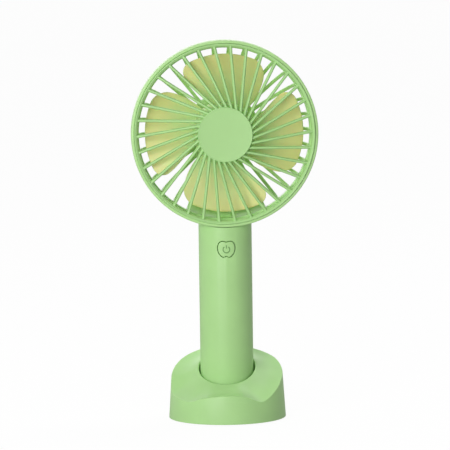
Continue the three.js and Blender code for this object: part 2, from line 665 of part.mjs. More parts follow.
function makeFrontGuard() {
  const ring = turnedY([
    [GUARD_INNER_R, -13.4], [GUARD_INNER_R + 0.6, -15.5], [GUARD_OUTER_R - 0.4, GUARD_FRONT_Y],
    [GUARD_OUTER_R, -16.1], [GUARD_OUTER_R, GUARD_SKIRT_Y], [GUARD_OUTER_R - 1.2, GUARD_SKIRT_Y],
    [GUARD_OUTER_R - 1.2, -12.5], [GUARD_INNER_R, -13.0], [GUARD_INNER_R, -13.4],
  ]);
  const hub = turnedY([
    [0, -20.3], [GUARD_HUB_R - 0.7, -20.4], [GUARD_HUB_R - 0.5, GUARD_HUB_FRONT_Y],
    [GUARD_HUB_R - 0.2, GUARD_HUB_FRONT_Y], [GUARD_HUB_R, -20.3], [GUARD_HUB_R, GUARD_HUB_REAR_Y],
    [GUARD_HUB_R - 1.5, GUARD_HUB_REAR_Y], [GUARD_HUB_R - 1.5, -18.8], [0, -18.8],
  ], MEDIUM);
  let guard = joined(ring, hub);
  for (let k = 0; k < SPOKES; k += 1) {
    const outer = onHead(spokeAngle(k), GUARD_INNER_R + SPOKE_FOOT, -14.7);
    const inner = onHead(spokeAngle(k) + SPOKE_SLANT, GUARD_HUB_R - 0.8, -18.9);
    guard = joined(guard, frontSpoke(outer, inner));
  }
  for (const angle of LUG_ANGLES) {
    const [from, to] = [angle - LUG_HALF_ANGLE, angle + LUG_HALF_ANGLE];
    guard = joined(guard, arcBlock(GUARD_OUTER_R - 0.6, LUG_OUTER_R, from, to, LUG_FRONT_Y, LUG_REAR_Y));
  }
  place(head, 'front_guard', guard, plastic(LIME, 0.45));
}

// ---------------------------------------------------------------- rotor

// Quadratic through three [input, output] pairs.
function throughThree([x0, y0], [x1, y1], [x2, y2]) {
  return (x) => (y0 * (x - x1) * (x - x2)) / ((x0 - x1) * (x0 - x2))
    + (y1 * (x - x0) * (x - x2)) / ((x1 - x0) * (x1 - x2))
    + (y2 * (x - x0) * (x - x1)) / ((x2 - x0) * (x2 - x1));
}

// Clockwise angles of a blade's two edges, in degrees from its middle, by radius.
const leadingEdge = throughThree([20.3, 46], [31.9, 40], [39.5, 34.4]);
const trailingEdge = throughThree([20.0, -26], [34.7, -35], [40.5, -35.3]);

function bladeEdges(r) {
  const intoCorner = THREE.MathUtils.clamp(r - (ROTOR_TIP_R - BLADE_CORNER_R), 0, BLADE_CORNER_R);
  const inset = (BLADE_CORNER_R - Math.sqrt(BLADE_CORNER_R ** 2 - intoCorner ** 2)) / r / RAD;
  return [trailingEdge(r) + inset, leadingEdge(r) - inset];
}

function makeBlade(middle) {
  const corner = ROTOR_TIP_R - BLADE_CORNER_R;
  const radii = [
    ROTOR_HUB_R - 0.8, (ROTOR_HUB_R + corner) / 2,
    ...[0, 0.6, 0.88, 1].map((part) => corner + BLADE_CORNER_R * part),
  ];
  const steps = 6;
  const sections = radii.map((r) => {
    const [from, to] = bladeEdges(r);
    const front = [];
    const back = [];
    for (let i = 0; i <= steps; i += 1) {
      const degrees = from + ((to - from) * i) / steps;
      const y = BLADE_MID_Y + BLADE_RISE_PER_RAD * degrees * RAD;
      front.push(onHead(middle + degrees, r, y - BLADE_THICKNESS / 2));
      back.unshift(onHead(middle + degrees, r, y + BLADE_THICKNESS / 2));
    }
    return [...front, ...back];
  });
  return loft(sections);
}

function makeRotor() {
  const inner = ROTOR_HUB_R - ROTOR_HUB_WALL;
  let rotor = turnedY([
    [0, ROTOR_HUB_FRONT_Y], [ROTOR_HUB_R - 1.5, ROTOR_HUB_FRONT_Y],
    [ROTOR_HUB_R, -13.3], [ROTOR_HUB_R, ROTOR_HUB_REAR_Y],
    [inner, ROTOR_HUB_REAR_Y], [inner, -13.2], [3.2, -13.2], [3.2, -6.0], [SHAFT_R + GAP, -6.0],
    [SHAFT_R + GAP, -13.4], [0, -13.4],
  ], MEDIUM);
  for (let k = 0; k < BLADES; k += 1) {
    rotor = joined(rotor, makeBlade(BLADE_FIRST + (360 / BLADES) * k));
  }
  place(head, 'fan_rotor', rotor, plastic(OLIVE, 0.5));
  place(head, 'motor_shaft', cylinderY(SHAFT_R, -13.1, 8.0, 0, 0, MEDIUM), metal(0xc9ccd0, 0.2));
}

// ---------------------------------------------------------------- motor

function makeMotor() {
  const can = turnedY([
    [0, 8.3], [SHAFT_R + GAP, 8.3], [SHAFT_R + GAP, -4.2], [2.6, -4.2], [2.6, MOTOR_FRONT_Y],
    [MOTOR_R, MOTOR_FRONT_Y], [MOTOR_R, MOTOR_REAR_Y], [0, MOTOR_REAR_Y],
  ], MEDIUM);
  place(head, 'motor_can', can, metal(0xb4b7bb, 0.3));
  const endBell = cylinderY(8.9, MOTOR_REAR_Y + GAP, 13.6, 0, 0, MEDIUM);
  place(head, 'motor_end_bell', endBell, plastic(0x262628, 0.6));

  const plateRear = MOTOR_FRONT_Y - GAP;
  const plateFront = plateRear - 1;
  const arm = block([-CLAMP_SCREW_X, CLAMP_SCREW_X], [plateFront, plateRear], [-1.9, 1.9]);
  const ends = [-CLAMP_SCREW_X, CLAMP_SCREW_X].map((x) => cylinderY(1.9, plateFront, plateRear, x, 0));
  const holes = [-CLAMP_SCREW_X, CLAMP_SCREW_X].map((x) => cylinderY(1.0, -8, 0, x, 0, TINY));
  const plate = cut(
    joined(cylinderY(8.5, plateFront, plateRear, 0, 0), arm, ...ends),
    cylinderY(2.9, -8, 0, 0, 0),
    ...holes,
  );
  place(head, 'motor_clamp_plate', plate, metal(0xaeb1b5, 0.35));
  for (const [side, x] of [['left', -CLAMP_SCREW_X], ['right', CLAMP_SCREW_X]]) {
    const screw = joined(
      cylinderY(1.6, plateFront - GAP - 0.8, plateFront - GAP, x, 0),
      cylinderY(0.7, plateFront - GAP - 0.2, 6.5, x, 0, TINY),
    );
    place(head, `motor_screw_${side}`, screw, metal(0xb9bcc0, 0.3));
  }
}

// Motor leads: out of the end bell, down the channel in the bowl, through the neck to the board.
function makeMotorLeads() {
  for (const [name, side, color] of [['red', 1, 0xb5342c], ['black', -1, 0x222224]]) {
    const x = 0.85 * side;
    const channel = [76, 62, 48, 34, 24].map((t) => {
      const [, y, z] = onHead(180, ...bowlPoint(t, -DUCT_BORE_DEPTH / 2));
      return [x, y, z + HEAD_Z];
    });
    const route = [
      [x, 12.4, HEAD_Z - 9.5], [x, 12.7, HEAD_Z - 12], [x, 13.4, HEAD_Z - 17],
      ...channel,
      [x, 1.7, 108.8], [x, 1.6, 106], [3.2 * side, 2.4, 104.2],
      [5.0 * side, 4.0, 101.6], [5.0 * side, 4.8, BOARD_TOP_Z + 0.4],
    ];
    place(fan, `motor_lead_${name}`, lead(route), plastic(color, 0.5));
  }
}

makeStand();
makeHandle();
makeElectrics();
makeButton();
makeRearGuard();
makeFrontGuard();
makeRotor();
makeMotor();
makeMotorLeads();

export default fan;
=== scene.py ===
"""Looks of the handheld electric fan and its desk stand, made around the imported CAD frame.

Frame: +Z up, the fan blows towards -Y, and +X is to the right of somebody who looks at its front.
Meshes are worked out in millimetres and scaled to metres when a piece is published.
Angles on the head run clockwise from the top, as seen from the front. Azimuths on the handle and the stand
run from the front (-Y) towards +X.
"""
import math

import bmesh
import bpy
from mathutils import Matrix, Vector


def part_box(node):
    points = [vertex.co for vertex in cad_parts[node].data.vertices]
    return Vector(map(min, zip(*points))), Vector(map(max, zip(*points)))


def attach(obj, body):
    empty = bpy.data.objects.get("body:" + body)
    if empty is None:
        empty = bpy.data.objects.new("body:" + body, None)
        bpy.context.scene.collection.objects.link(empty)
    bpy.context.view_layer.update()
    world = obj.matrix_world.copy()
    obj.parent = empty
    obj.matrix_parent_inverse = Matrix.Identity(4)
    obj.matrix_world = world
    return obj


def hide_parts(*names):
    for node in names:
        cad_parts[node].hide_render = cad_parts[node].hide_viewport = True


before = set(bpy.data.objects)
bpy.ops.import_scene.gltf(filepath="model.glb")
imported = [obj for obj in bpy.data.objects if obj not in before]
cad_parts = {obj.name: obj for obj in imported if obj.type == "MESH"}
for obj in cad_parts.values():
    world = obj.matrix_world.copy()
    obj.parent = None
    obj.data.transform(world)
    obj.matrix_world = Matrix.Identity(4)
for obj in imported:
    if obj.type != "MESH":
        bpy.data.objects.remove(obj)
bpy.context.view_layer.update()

MM = 0.001


def corner(node, which, axis):
    """One coordinate of a CAD node's lowest (0) or highest (1) corner, in millimetres."""
    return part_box(node)[which][axis] / MM


# ---- driving dimensions

GAP = 0.3
ROUND = 192  # sides of the large round parts
SMALL = 48  # sides of the small ones
WIDE = 40  # half width of a cutter that reaches past the handle
HIGH = 200  # top of a cutter that reaches past the handle
SHARP_ANGLE = 32  # an edge with a larger angle than this, in degrees, is shaded sharp

# Head
HEAD_Z = (corner("front_guard", 0, 2) + corner("front_guard", 1, 2)) / 2
RIM_R = corner("rear_guard", 1, 0)
RIM_FRONT_Y = -15.2
RIM_REAR_Y = -2.6
RIM_BEVEL_Y = RIM_REAR_Y - 1.6
RIM_INNER_R = RIM_R - 1.6
SEAT_INNER_R = RIM_R - 4.3
SEAT_FRONT_Y = -8.0
GUARD_R = RIM_INNER_R - 0.12
GUARD_INNER_R = RIM_R - 3.8
GUARD_FRONT_Y = -16.4
GUARD_SKIRT_Y = -8.6
GUARD_HUB_R = 14.8
GUARD_HUB_FRONT_Y = corner("front_guard", 0, 1)
GUARD_HUB_REAR_Y = -17.4
GUARD_PLATE_FRONT_Y = -20.3
GUARD_PLATE_REAR_Y = -18.8
SPOKES = 34
SPOKE_PITCH = 360 / SPOKES
SPOKE_FIRST = 4.27
SPOKE_SLANT = 22
FRONT_SPOKE_CREST = 0.8  # width at the front of the tapered section
FRONT_SPOKE_BASE = 1.9
FRONT_SPOKE_DEPTH = 1.8
FRONT_SPOKE_FLARE = 0.3  # share by which a spoke is wider at its two ends
FRONT_SPOKE_RIM_Y = -14.7  # middle of a spoke where it meets the ring
FRONT_SPOKE_HUB_Y = -18.9  # and where it meets the hub
LUG_ANGLES = (30, 150, 270)
LUG_HALF_ANGLE = 4.5
LUG_R = 49.5
LUG_SLOT_R = LUG_R + GAP
LUG_FRONT_Y = -11.2
LUG_REAR_Y = -9.6
LOCK_TURN = 15

# Rear guard: the spokes follow a quarter ellipse from the rim back to the hub
BOWL_FRONT_Y = -5.0
BOWL_DEPTH = 21.0
BOWL_RIM_R = RIM_R - 3.0
BOWL_END = 94  # how far along the bowl the spokes run, where 90 is the hub's edge
REAR_HUB_R = 20.3
REAR_HUB_FRONT_Y = 13.6
REAR_HUB_REAR_Y = 17.1
REAR_SPOKE_WIDTH = 1.9
REAR_SPOKE_DEPTH = 2.2
REAR_SPOKE_FLARE = 0.4
DUCT_WIDTH = 6.4  # closed duct for the motor leads, down the middle of the bowl
DUCT_INWARD = 2.8
DUCT_BORE_WIDTH = 3.6
DUCT_BORE_DEPTH = 2.1
WEB_FIRST_SPOKE = 14
WEB_LAST_SPOKE = 19
WEB_HALF_THICKNESS = 0.9
TONGUE_HALF_WIDTH = 7  # the tongue under the rim is screwed between the handle's shells
TONGUE_FRONT_Y = -4.0
TONGUE_REAR_Y = -1.2
TONGUE_BOTTOM_Z = 97
TONGUE_TOP_Z = 109

# Rotor
ROTOR_TIP_R = 43.1
ROTOR_HUB_R = 17.1
ROTOR_HUB_WALL = 1.4
ROTOR_HUB_FRONT_Y = -14.8
ROTOR_HUB_REAR_Y = 2.0
ROTOR_HUB_FLOOR_Y = -13.2
ROTOR_BOSS_R = 3.2
ROTOR_BOSS_REAR_Y = -6.0
ROTOR_BORE_R = 1.3
BLADES = 4
BLADE_FIRST = 0.6
BLADE_MID_Y = -6.0
BLADE_RISE = 9.9  # axial rise of the screw surface per radian
BLADE_THICKNESS = 1.2
BLADE_CORNER_R = 6.4

# Motor
MOTOR_FRONT_Y = -3.0
MOTOR_REAR_Y = 14.0
MOTOR_POCKET_R = 10.6
MOTOR_COLLAR_R = 12.0
CLAMP_SCREW_X = 13.4
CLAMP_POST_R = 1.9
CLAMP_PILOT_R = 1.0
CLAMP_ARM_HALF_HEIGHT = 1.2

# Handle
HANDLE_R = corner("handle_end_cap", 1, 0)
HANDLE_WALL = 1.6
HANDLE_BORE_R = HANDLE_R - HANDLE_WALL
CAP_BOTTOM_Z = corner("handle_end_cap", 0, 2)
CAP_TOP_Z = CAP_BOTTOM_Z + 3
CAP_SPIGOT_TOP_Z = 10.5
CAP_SPIGOT_R = 12.5
CAP_SPIGOT_BORE_R = 11.0
SHOULDER = (5.0, 111.0)  # y and z of a point on the sloping back of the handle's top
SHOULDER_SLOPE = 0.95
NECK_SCREW_Z = 101.0
LOWER_SCREW_Z = 81.5
FRONT_BOSS_R = 2.2
REAR_BOSS_R = 3.6
PILOT_R = 1.2
SCREW_POCKET_R = 2.5
SCREW_POCKET_DEPTH = 2.9
BUTTON_Z = 94.1
BUTTON_FLANGE = 0.6
BUTTON_GAP = 0.4
BUTTON_FACE_R = HANDLE_R + 0.35
BUTTON_FLANGE_FRONT_Y = -11.0
BUTTON_FLANGE_REAR_Y = -10.1
BUTTON_EDGE = 0.3
SYMBOL_R = 1.8
SYMBOL_OPENING = 38  # half angle of the gap at the top of the symbol's ring
PORT_Z = 91.5
PORT_FRONT_Y = 5.95
PORT_REAR_Y = 13.45
PORT_FLOOR_Y = 6.6
PORT_HALF_LENGTH = 2.8  # to the middle of its round ends
PORT_R = 1.6
PORT_BORE_R = 1.25
LIGHT_Z = PORT_Z - 5.5
LENS_R = 1.0
LENS_FRONT_Y = 11.2
LENS_REAR_Y = 14.3

# Stand
STAND_R = corner("stand_shell", 1, 0)
STAND_TAPER = 0.063
STAND_WALL = 1.8
STAND_BOTTOM_Z = corner("stand_shell", 0, 2)
SOCKET_R = 15.4
SOCKET_FLOOR_Z = 4.7
SOCKET_FLOOR_THICKNESS = 1.6
SOCKET_RIM_Z = 28.4  # the socket's slanted rim at its middle height
SOCKET_RIM_RISE = 7.7  # from there to its highest and lowest points
RIB_TOP_Z = 15.3
PLATE_TOP_Z = corner("stand_plate", 1, 2)
STAND_SCREW_RADIUS = 24.0
STAND_SCREW_SEAT_Z = 1.5
STAND_FOOT_RADIUS = 25.0
FOOT_R = 4.0
FOOT_HEIGHT = 1.3
DISH_SAG = 1.6
STAND_TURN = 5  # the slanted socket rim is turned by this towards -X, in degrees
CREASE = (  # azimuth and height of points once around the crease between the wall and the sloping top
    (-97, 23.9), (-86, 18.8), (-78, 15.4), (-66, 13.5), (-52, 12.5), (-43, 12.2), (-34, 13.5),
    (-25, 14.9), (-5, 16.0), (16, 15.3), (25, 13.4), (33, 11.9), (40, 12.6), (60, 18.0),
    (72, 21.6), (90, 25.6), (120, 31.5), (175, 36.1), (220, 32.9),
)


# ---- outlines

def sharp(a, b):
    return (a, b, 0)


def rounded(corners, steps=4):
    """Outline through corners (a, b, radius), each corner turned into an arc of its radius."""
    outline = []
    count = len(corners)
    for i, (a, b, radius) in enumerate(corners):
        here = Vector((a, b))
        if radius == 0:
            outline.append((a, b))
            continue
        before = Vector(corners[i - 1][:2]) - here
        after = Vector(corners[(i + 1) % count][:2]) - here
        half = before.angle(after) / 2
        reach = radius / math.tan(half)
        limit = 0.48 * min(before.length, after.length)
        if reach > limit:
            reach = limit
            radius = reach * math.tan(half)
        centre = here + (before.normalized() + after.normalized()).normalized() * (radius / math.sin(half))
        start = here + before.normalized() * reach - centre
        end = here + after.normalized() * reach - centre
        for k in range(steps + 1):
            point = centre + start.slerp(end, k / steps) * radius
            outline.append((point.x, point.y))
    return outline


def smooth_loop(points, steps):
    """Closed Catmull-Rom curve through points, with steps pieces between each two."""
    made = []
    count = len(points)
    for i in range(count):
        p = [Vector(points[(i + k - 1) % count]) for k in range(4)]
        for s in range(steps):
            t = s / steps
            made.append(0.5 * (
                2 * p[1]
                + (p[2] - p[0]) * t
                + (2 * p[0] - 5 * p[1] + 4 * p[2] - p[3]) * t ** 2
                + (3 * p[1] - p[0] - 3 * p[2] + p[3]) * t ** 3
            ))
    return made


def slot_outline(half_length, radius):
    """Slot with round ends, along the first axis and about the origin."""
    steps = 12
    made = []
    for side in (1, -1):
        for k in range(steps + 1):
            angle = -math.pi / 2 + math.pi * k / steps
            made.append((side * (half_length + radius * math.cos(angle)), side * radius * math.sin(angle)))
    return made


# ---- closed bodies

def body_of(vertices, faces):
    """Closed mesh as an object, with doubled points merged and the faces turned outwards."""
    mesh = bpy.data.meshes.new("body")
    mesh.from_pydata([tuple(v) for v in vertices], [], faces)
    grown = bmesh.new()
    grown.from_mesh(mesh)
    bmesh.ops.remove_doubles(grown, verts=grown.verts, dist=1e-4)
    bmesh.ops.dissolve_degenerate(grown, edges=grown.edges, dist=1e-5)
    bmesh.ops.recalc_face_normals(grown, faces=grown.faces)
    grown.to_mesh(mesh)
    grown.free()
    made = bpy.data.objects.new("body", mesh)
    bpy.context.scene.collection.objects.link(made)
    return made


def loft(sections, ring=False):
    """Skin over a row of closed loops with the same number of points, with flat ends unless it is a ring."""
    count = len(sections[0])
    total = len(sections)
    vertices = [p for section in sections for p in section]
    faces = []
    for s in range(total if ring else total - 1):
        here = s * count
        there = (s + 1) % total * count
        for i in range(count):
            j = (i + 1) % count
            faces.append((here + i, here + j, there + j, there + i))
    if not ring:
        faces.append(tuple(range(count)))
        faces.append(tuple(range((total - 1) * count, total * count)))
    return body_of(vertices, faces)


def on_head(degrees, r, y):
    """Point on the head by its clockwise angle from the top."""
    angle = math.radians(degrees)
    return (r * math.sin(angle), y, HEAD_Z + r * math.cos(angle))


def around(degrees, r, z):
    """Point on the handle or the stand by its azimuth."""
    angle = math.radians(degrees)
    return (r * math.sin(angle), -r * math.cos(angle), z)


def turned_head(corners, segments=ROUND):
    """Solid of revolution about the head's axis, from corners (r, y, fillet radius)."""
    profile = rounded(corners)
    return loft([[on_head(360 * s / segments, r, y) for r, y in profile] for s in range(segments)], ring=True)


def turned_upright(corners, segments=ROUND, x=0.0, y=0.0):
    """Solid of revolution about a vertical axis, from corners (r, z, fillet radius)."""
    profile = rounded(corners)
    sections = []
    for s in range(segments):
        ring = [around(360 * s / segments, r, z) for r, z in profile]
        sections.append([(px + x, py + y, pz) for px, py, pz in ring])
    return loft(sections, ring=True)


def turned_level(corners, x, z):
    """Solid of revolution about a line along Y through (x, z), from corners (r, y, fillet radius)."""
    profile = rounded(corners)
    sections = []
    for s in range(SMALL):
        angle = 2 * math.pi * s / SMALL
        sections.append([(x + r * math.sin(angle), y, z + r * math.cos(angle)) for r, y in profile])
    return loft(sections, ring=True)


def rod(radius, y_from, y_to, x, z):
    """Plain cylinder along Y."""
    return turned_level([sharp(0, y_from), sharp(radius, y_from), sharp(radius, y_to), sharp(0, y_to)], x, z)


def post(radius, z_from, z_to, x, y, segments=SMALL):
    """Plain cylinder along Z."""
    return turned_upright(
        [sharp(0, z_from), sharp(radius, z_from), sharp(radius, z_to), sharp(0, z_to)], segments, x, y
    )


def block(x_range, y_range, z_range):
    """Plain box, used to join and cut."""
    (x0, x1), (y0, y1), (z0, z1) = x_range, y_range, z_range
    floor = [(x0, y0, z0), (x1, y0, z0), (x1, y1, z0), (x0, y1, z0)]
    roof = [(x, y, z1) for x, y, _ in floor]
    return loft([floor, roof])


def head_arc(r_inner, r_outer, start, end, y_from, y_to, steps=8):
    """Piece of a ring about the head's axis, between two clockwise angles."""
    sections = []
    for s in range(steps + 1):
        angle = start + (end - start) * s / steps
        corners = ((r_inner, y_from), (r_outer, y_from), (r_outer, y_to), (r_inner, y_to))
        sections.append([on_head(angle, r, y) for r, y in corners])
    return loft(sections)


def combined(first, operation, others):
    """Joins (UNION) or cuts (DIFFERENCE) closed bodies; the others are used up."""
    for other in others:
        modifier = first.modifiers.new("combine", "BOOLEAN")
        modifier.operation = operation
        modifier.solver = "MANIFOLD"
        modifier.object = other
    bpy.context.view_layer.update()
    evaluated = first.evaluated_get(bpy.context.evaluated_depsgraph_get())
    mesh = bpy.data.meshes.new_from_object(evaluated)
    first.modifiers.clear()
    first.data = mesh
    for other in others:
        bpy.data.objects.remove(other)
    return first


def joined(first, *others):
    return combined(first, "UNION", others)


def cut(first, *others):
    return combined(first, "DIFFERENCE", others)


def gathered(bodies):
    """Bodies that don't touch each other, as one object."""
    first = bodies[0]
    grown = bmesh.new()
    for piece in bodies:
        grown.from_mesh(piece.data)
    grown.to_mesh(first.data)
    grown.free()
    for piece in bodies[1:]:
        bpy.data.objects.remove(piece)
    return first


def publish(made, name, body, finish, replaces=()):
    """Makes a body a finished piece: metres, smooth shading with sharp edges, its finish and its place."""
    made.name = name
    made.data.name = name
    made.data.transform(Matrix.Scale(MM, 4))
    made.data.polygons.foreach_set("use_smooth", [True] * len(made.data.polygons))
    made.data.set_sharp_from_angle(angle=math.radians(SHARP_ANGLE))
    made.data.materials.clear()
    made.data.materials.append(MATERIALS[finish])
    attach(made, body)
    if replaces:
        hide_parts(*replaces)


# ---- materials

def linear(red, green, blue):
    """Linear colour from display values of 0 to 255."""
    def channel(value):
        v = value / 255
        return v / 12.92 if v <= 0.04045 else ((v + 0.055) / 1.055) ** 2.4
    return (channel(red), channel(green), channel(blue), 1.0)


def shaded(colour, share):
    """The colour times a share, for the ends of a mottling ramp."""
    return tuple(c * share for c in colour[:3]) + (1.0,)


def new_node(tree, kind, **settings):
    """Shader node by its short kind, such as Bump."""
    node = tree.nodes.new("ShaderNode" + kind)
    for key, value in settings.items():
        setattr(node, key, value)
    return node


class Nodes:
    """Short names for the nodes of one material."""

    def __init__(self, name):
        self.material = bpy.data.materials.new(name)
        self.material.use_nodes = True
        self.tree = self.material.node_tree
        self.shader = self.tree.nodes["Principled BSDF"]
        self.place = self.add("TexCoord").outputs["Object"]

    def add(self, kind, **settings):
        return new_node(self.tree, kind, **settings)

    def link(self, source, target):
        self.tree.links.new(source, target)

    def noise(self, scale, detail=2.0, stretch=(1, 1, 1)):
        mapping = self.add("Mapping")
        mapping.inputs["Scale"].default_value = stretch
        self.link(self.place, mapping.inputs["Vector"])
        node = self.add("TexNoise")
        node.inputs["Scale"].default_value = scale
        node.inputs["Detail"].default_value = detail
        self.link(mapping.outputs["Vector"], node.inputs["Vector"])
        return node.outputs["Fac"]

    def ramp(self, factor, stops):
        node = self.add("ValToRGB")
        ramp = node.color_ramp
        for place, colour in stops[1:-1]:
            ramp.elements.new(place).color = colour
        ramp.elements[0].position, ramp.elements[0].color = stops[0]
        ramp.elements[-1].position, ramp.elements[-1].color = stops[-1]
        self.link(factor, node.inputs["Fac"])
        return node.outputs["Color"]

    def spread(self, factor, low, high):
        """Spreads the middle of a noise's range, 0.3 to 0.7, over low to high."""
        node = self.add("MapRange")
        node.inputs["From Min"].default_value = 0.3
        node.inputs["From Max"].default_value = 0.7
        node.inputs["To Min"].default_value = low
        node.inputs["To Max"].default_value = high
        self.link(factor, node.inputs["Value"])
        return node.outputs["Result"]

    def bump(self, height, distance):
        node = self.add("Bump")
        node.inputs["Strength"].default_value = 1.0
        node.inputs["Distance"].default_value = distance
        self.link(height, node.inputs["Height"])
        self.link(node.outputs["Normal"], self.shader.inputs["Normal"])


GLOSS_SCALE = 160  # of the noise that makes a plastic's gloss uneven


def moulded(name, colour, roughness, mottle=0.03, grain=0.000012, subsurface=0.0, ior=1.46):
    """Injection-moulded plastic: faint flow mottling, fine spark-eroded grain, uneven gloss."""
    n = Nodes(name)
    flow = n.noise(55, 3)
    n.link(
        n.ramp(flow, [(0.3, shaded(colour, 1 - mottle)), (0.7, shaded(colour, 1 + mottle))]),
        n.shader.inputs["Base Color"],
    )
    gloss = n.noise(GLOSS_SCALE, 2)
    n.link(n.spread(gloss, roughness - 0.04, roughness + 0.04), n.shader.inputs["Roughness"])
    n.bump(n.noise(2600, 2), grain)
    n.shader.inputs["IOR"].default_value = ior
    if subsurface:
        n.shader.inputs["Subsurface Weight"].default_value = subsurface
        n.shader.inputs["Subsurface Scale"].default_value = 0.0012
        n.shader.inputs["Subsurface Radius"].default_value = (1.0, 1.0, 0.7)
    return n.material


def brushed(name, colour, roughness, stretch):
    """Worked metal: fine marks along one direction and uneven gloss."""
    n = Nodes(name)
    marks = n.noise(900, 3, stretch)
    n.link(n.ramp(marks, [(0.3, shaded(colour, 0.88)), (0.7, colour)]), n.shader.inputs["Base Color"])
    n.link(n.spread(marks, roughness - 0.05, roughness + 0.08), n.shader.inputs["Roughness"])
    n.bump(marks, 0.000006)
    n.shader.inputs["Metallic"].default_value = 1.0
    return n.material


def blade_material_with_painted_light():
    """Blades, a little translucent, olive towards the tip. Their colour holds painted light: the whole ramp
    is paler than the blade plastic, for light shining through the blades, and it turns green at the root for
    green light thrown back by the housing.
    """
    n = Nodes("blade_plastic")
    place = n.add("SeparateXYZ")
    n.link(n.place, place.inputs["Vector"])
    flat = n.add("CombineXYZ")
    n.link(place.outputs["X"], flat.inputs["X"])
    n.link(place.outputs["Z"], flat.inputs["Z"])
    axis = n.add("VectorMath", operation="SUBTRACT")
    axis.inputs[1].default_value = (0, 0, HEAD_Z * MM)
    n.link(flat.outputs["Vector"], axis.inputs[0])
    radius = n.add("VectorMath", operation="LENGTH")
    n.link(axis.outputs["Vector"], radius.inputs[0])
    wander = n.spread(n.noise(60, 3), -0.006, 0.006)
    total = n.add("Math", operation="ADD")
    n.link(radius.outputs["Value"], total.inputs[0])
    n.link(wander, total.inputs[1])
    scale = n.add("MapRange")
    scale.inputs["From Min"].default_value = 0.6 * ROTOR_HUB_R * MM
    scale.inputs["From Max"].default_value = ROTOR_TIP_R * MM
    n.link(total.outputs["Value"], scale.inputs["Value"])
    # painted light: the ramp is paler than the blade plastic for light shining through the blades, and
    # greener near the hub for green light thrown back by the housing
    n.link(
        n.ramp(scale.outputs["Result"], [
            (0.2, linear(210, 235, 168)),
            (0.55, linear(226, 235, 163)),
            (0.8, linear(233, 232, 158)),
            (1.0, linear(233, 229, 155)),
        ]),
        n.shader.inputs["Base Color"],
    )
    n.link(n.spread(n.noise(GLOSS_SCALE, 2), 0.42, 0.52), n.shader.inputs["Roughness"])
    n.bump(n.noise(2200, 2), 0.00001)
    n.shader.inputs["Subsurface Weight"].default_value = 0.15
    n.shader.inputs["Subsurface Scale"].default_value = 0.0015
    return n.material


LIME = linear(182, 228, 152)
# painted light: the rear guard's own green, set lighter than the handle's to stand in for light that its
# spokes lack in the shade inside the cage
GUARD_LIME_PAINTED_LIGHTER = linear(190, 233, 158)

PLASTICS = {  # colour, roughness, and what differs from a plain moulding
    "lime_plastic": (LIME, 0.42, dict(subsurface=0.08)),
    "guard_plastic": (GUARD_LIME_PAINTED_LIGHTER, 0.3, dict(subsurface=0.08)),
    # painted shade of the engraved standby symbol's groove
    "symbol_painted_shade": (linear(118, 166, 98), 0.5, {}),
    "foot_rubber": (linear(214, 218, 210), 0.8, dict(grain=0.00003, ior=1.5)),
    "cell_wrap": (linear(58, 111, 176), 0.34, {}),
    "black_plastic": (linear(38, 38, 40), 0.5, dict(mottle=0.1)),
    "board_laminate": (linear(34, 104, 70), 0.45, dict(mottle=0.08)),
    "clear_lens": (linear(238, 241, 236), 0.2, dict(mottle=0.01, subsurface=0.3)),
    "diode_resin": (linear(240, 232, 186), 0.3, {}),
    "red_insulation": (linear(182, 50, 42), 0.48, {}),
    "black_insulation": (linear(34, 34, 36), 0.48, dict(mottle=0.1)),
}
METALS = {  # colour, roughness, and along which axis its marks are close together
    "screw_steel": (linear(196, 198, 202), 0.3, (1, 1, 12)),
    "shaft_steel": (linear(208, 210, 214), 0.22, (1, 12, 1)),
    "motor_can_steel": (linear(184, 187, 191), 0.32, (1, 12, 1)),
    "clamp_steel": (linear(178, 181, 185), 0.36, (12, 1, 1)),
    "port_steel": (linear(200, 202, 206), 0.26, (12, 1, 1)),
    "nickel_strip": (linear(206, 202, 188), 0.34, (1, 12, 1)),
}
MATERIALS = {"blade_plastic": blade_material_with_painted_light()}
for finish, (colour, roughness, settings) in PLASTICS.items():
    MATERIALS[finish] = moulded(finish, colour, roughness, **settings)
for finish, (colour, roughness, stretch) in METALS.items():
    MATERIALS[finish] = brushed(finish, colour, roughness, stretch)


# ---- stand

def crease_point(k):
    """Crease point by its number, which may run past the ends of the list."""
    turns, place = divmod(k, len(CREASE))
    return (CREASE[place][0] + 360 * turns, CREASE[place][1])


def crease_z(degrees):
    """Height of the crease at an azimuth, on a smooth curve through the crease points."""
    first = CREASE[0][0]
    degrees = first + (degrees - first) % 360
    k = max(i for i, (start, _) in enumerate(CREASE) if start <= degrees)
    before, here, after, beyond = [crease_point(k + step) for step in (-1, 0, 1, 2)]
    start_slope = (after[1] - before[1]) / (after[0] - before[0])
    end_slope = (beyond[1] - here[1]) / (beyond[0] - here[0])
    span = after[0] - here[0]
    t = (degrees - here[0]) / span
    bend = start_slope * (1 - t) - end_slope * t
    return here[1] + (after[1] - here[1]) * t * t * (3 - 2 * t) + span * t * (1 - t) * bend


def socket_rim_z(degrees):
    """Height of the socket's slanted rim at an azimuth."""
    return SOCKET_RIM_Z - SOCKET_RIM_RISE * math.cos(math.radians(degrees + STAND_TURN))


def dish_point(degrees, t):
    """Radius and height on the dished top, from the socket (t = 0) to the crease (t = 1)."""
    outer_z = crease_z(degrees)
    rim_z = socket_rim_z(degrees)
    r = SOCKET_R + (STAND_R - STAND_TAPER * outer_z - SOCKET_R) * t
    return (r, rim_z + (outer_z - rim_z) * t - DISH_SAG * math.sin(math.pi * t))


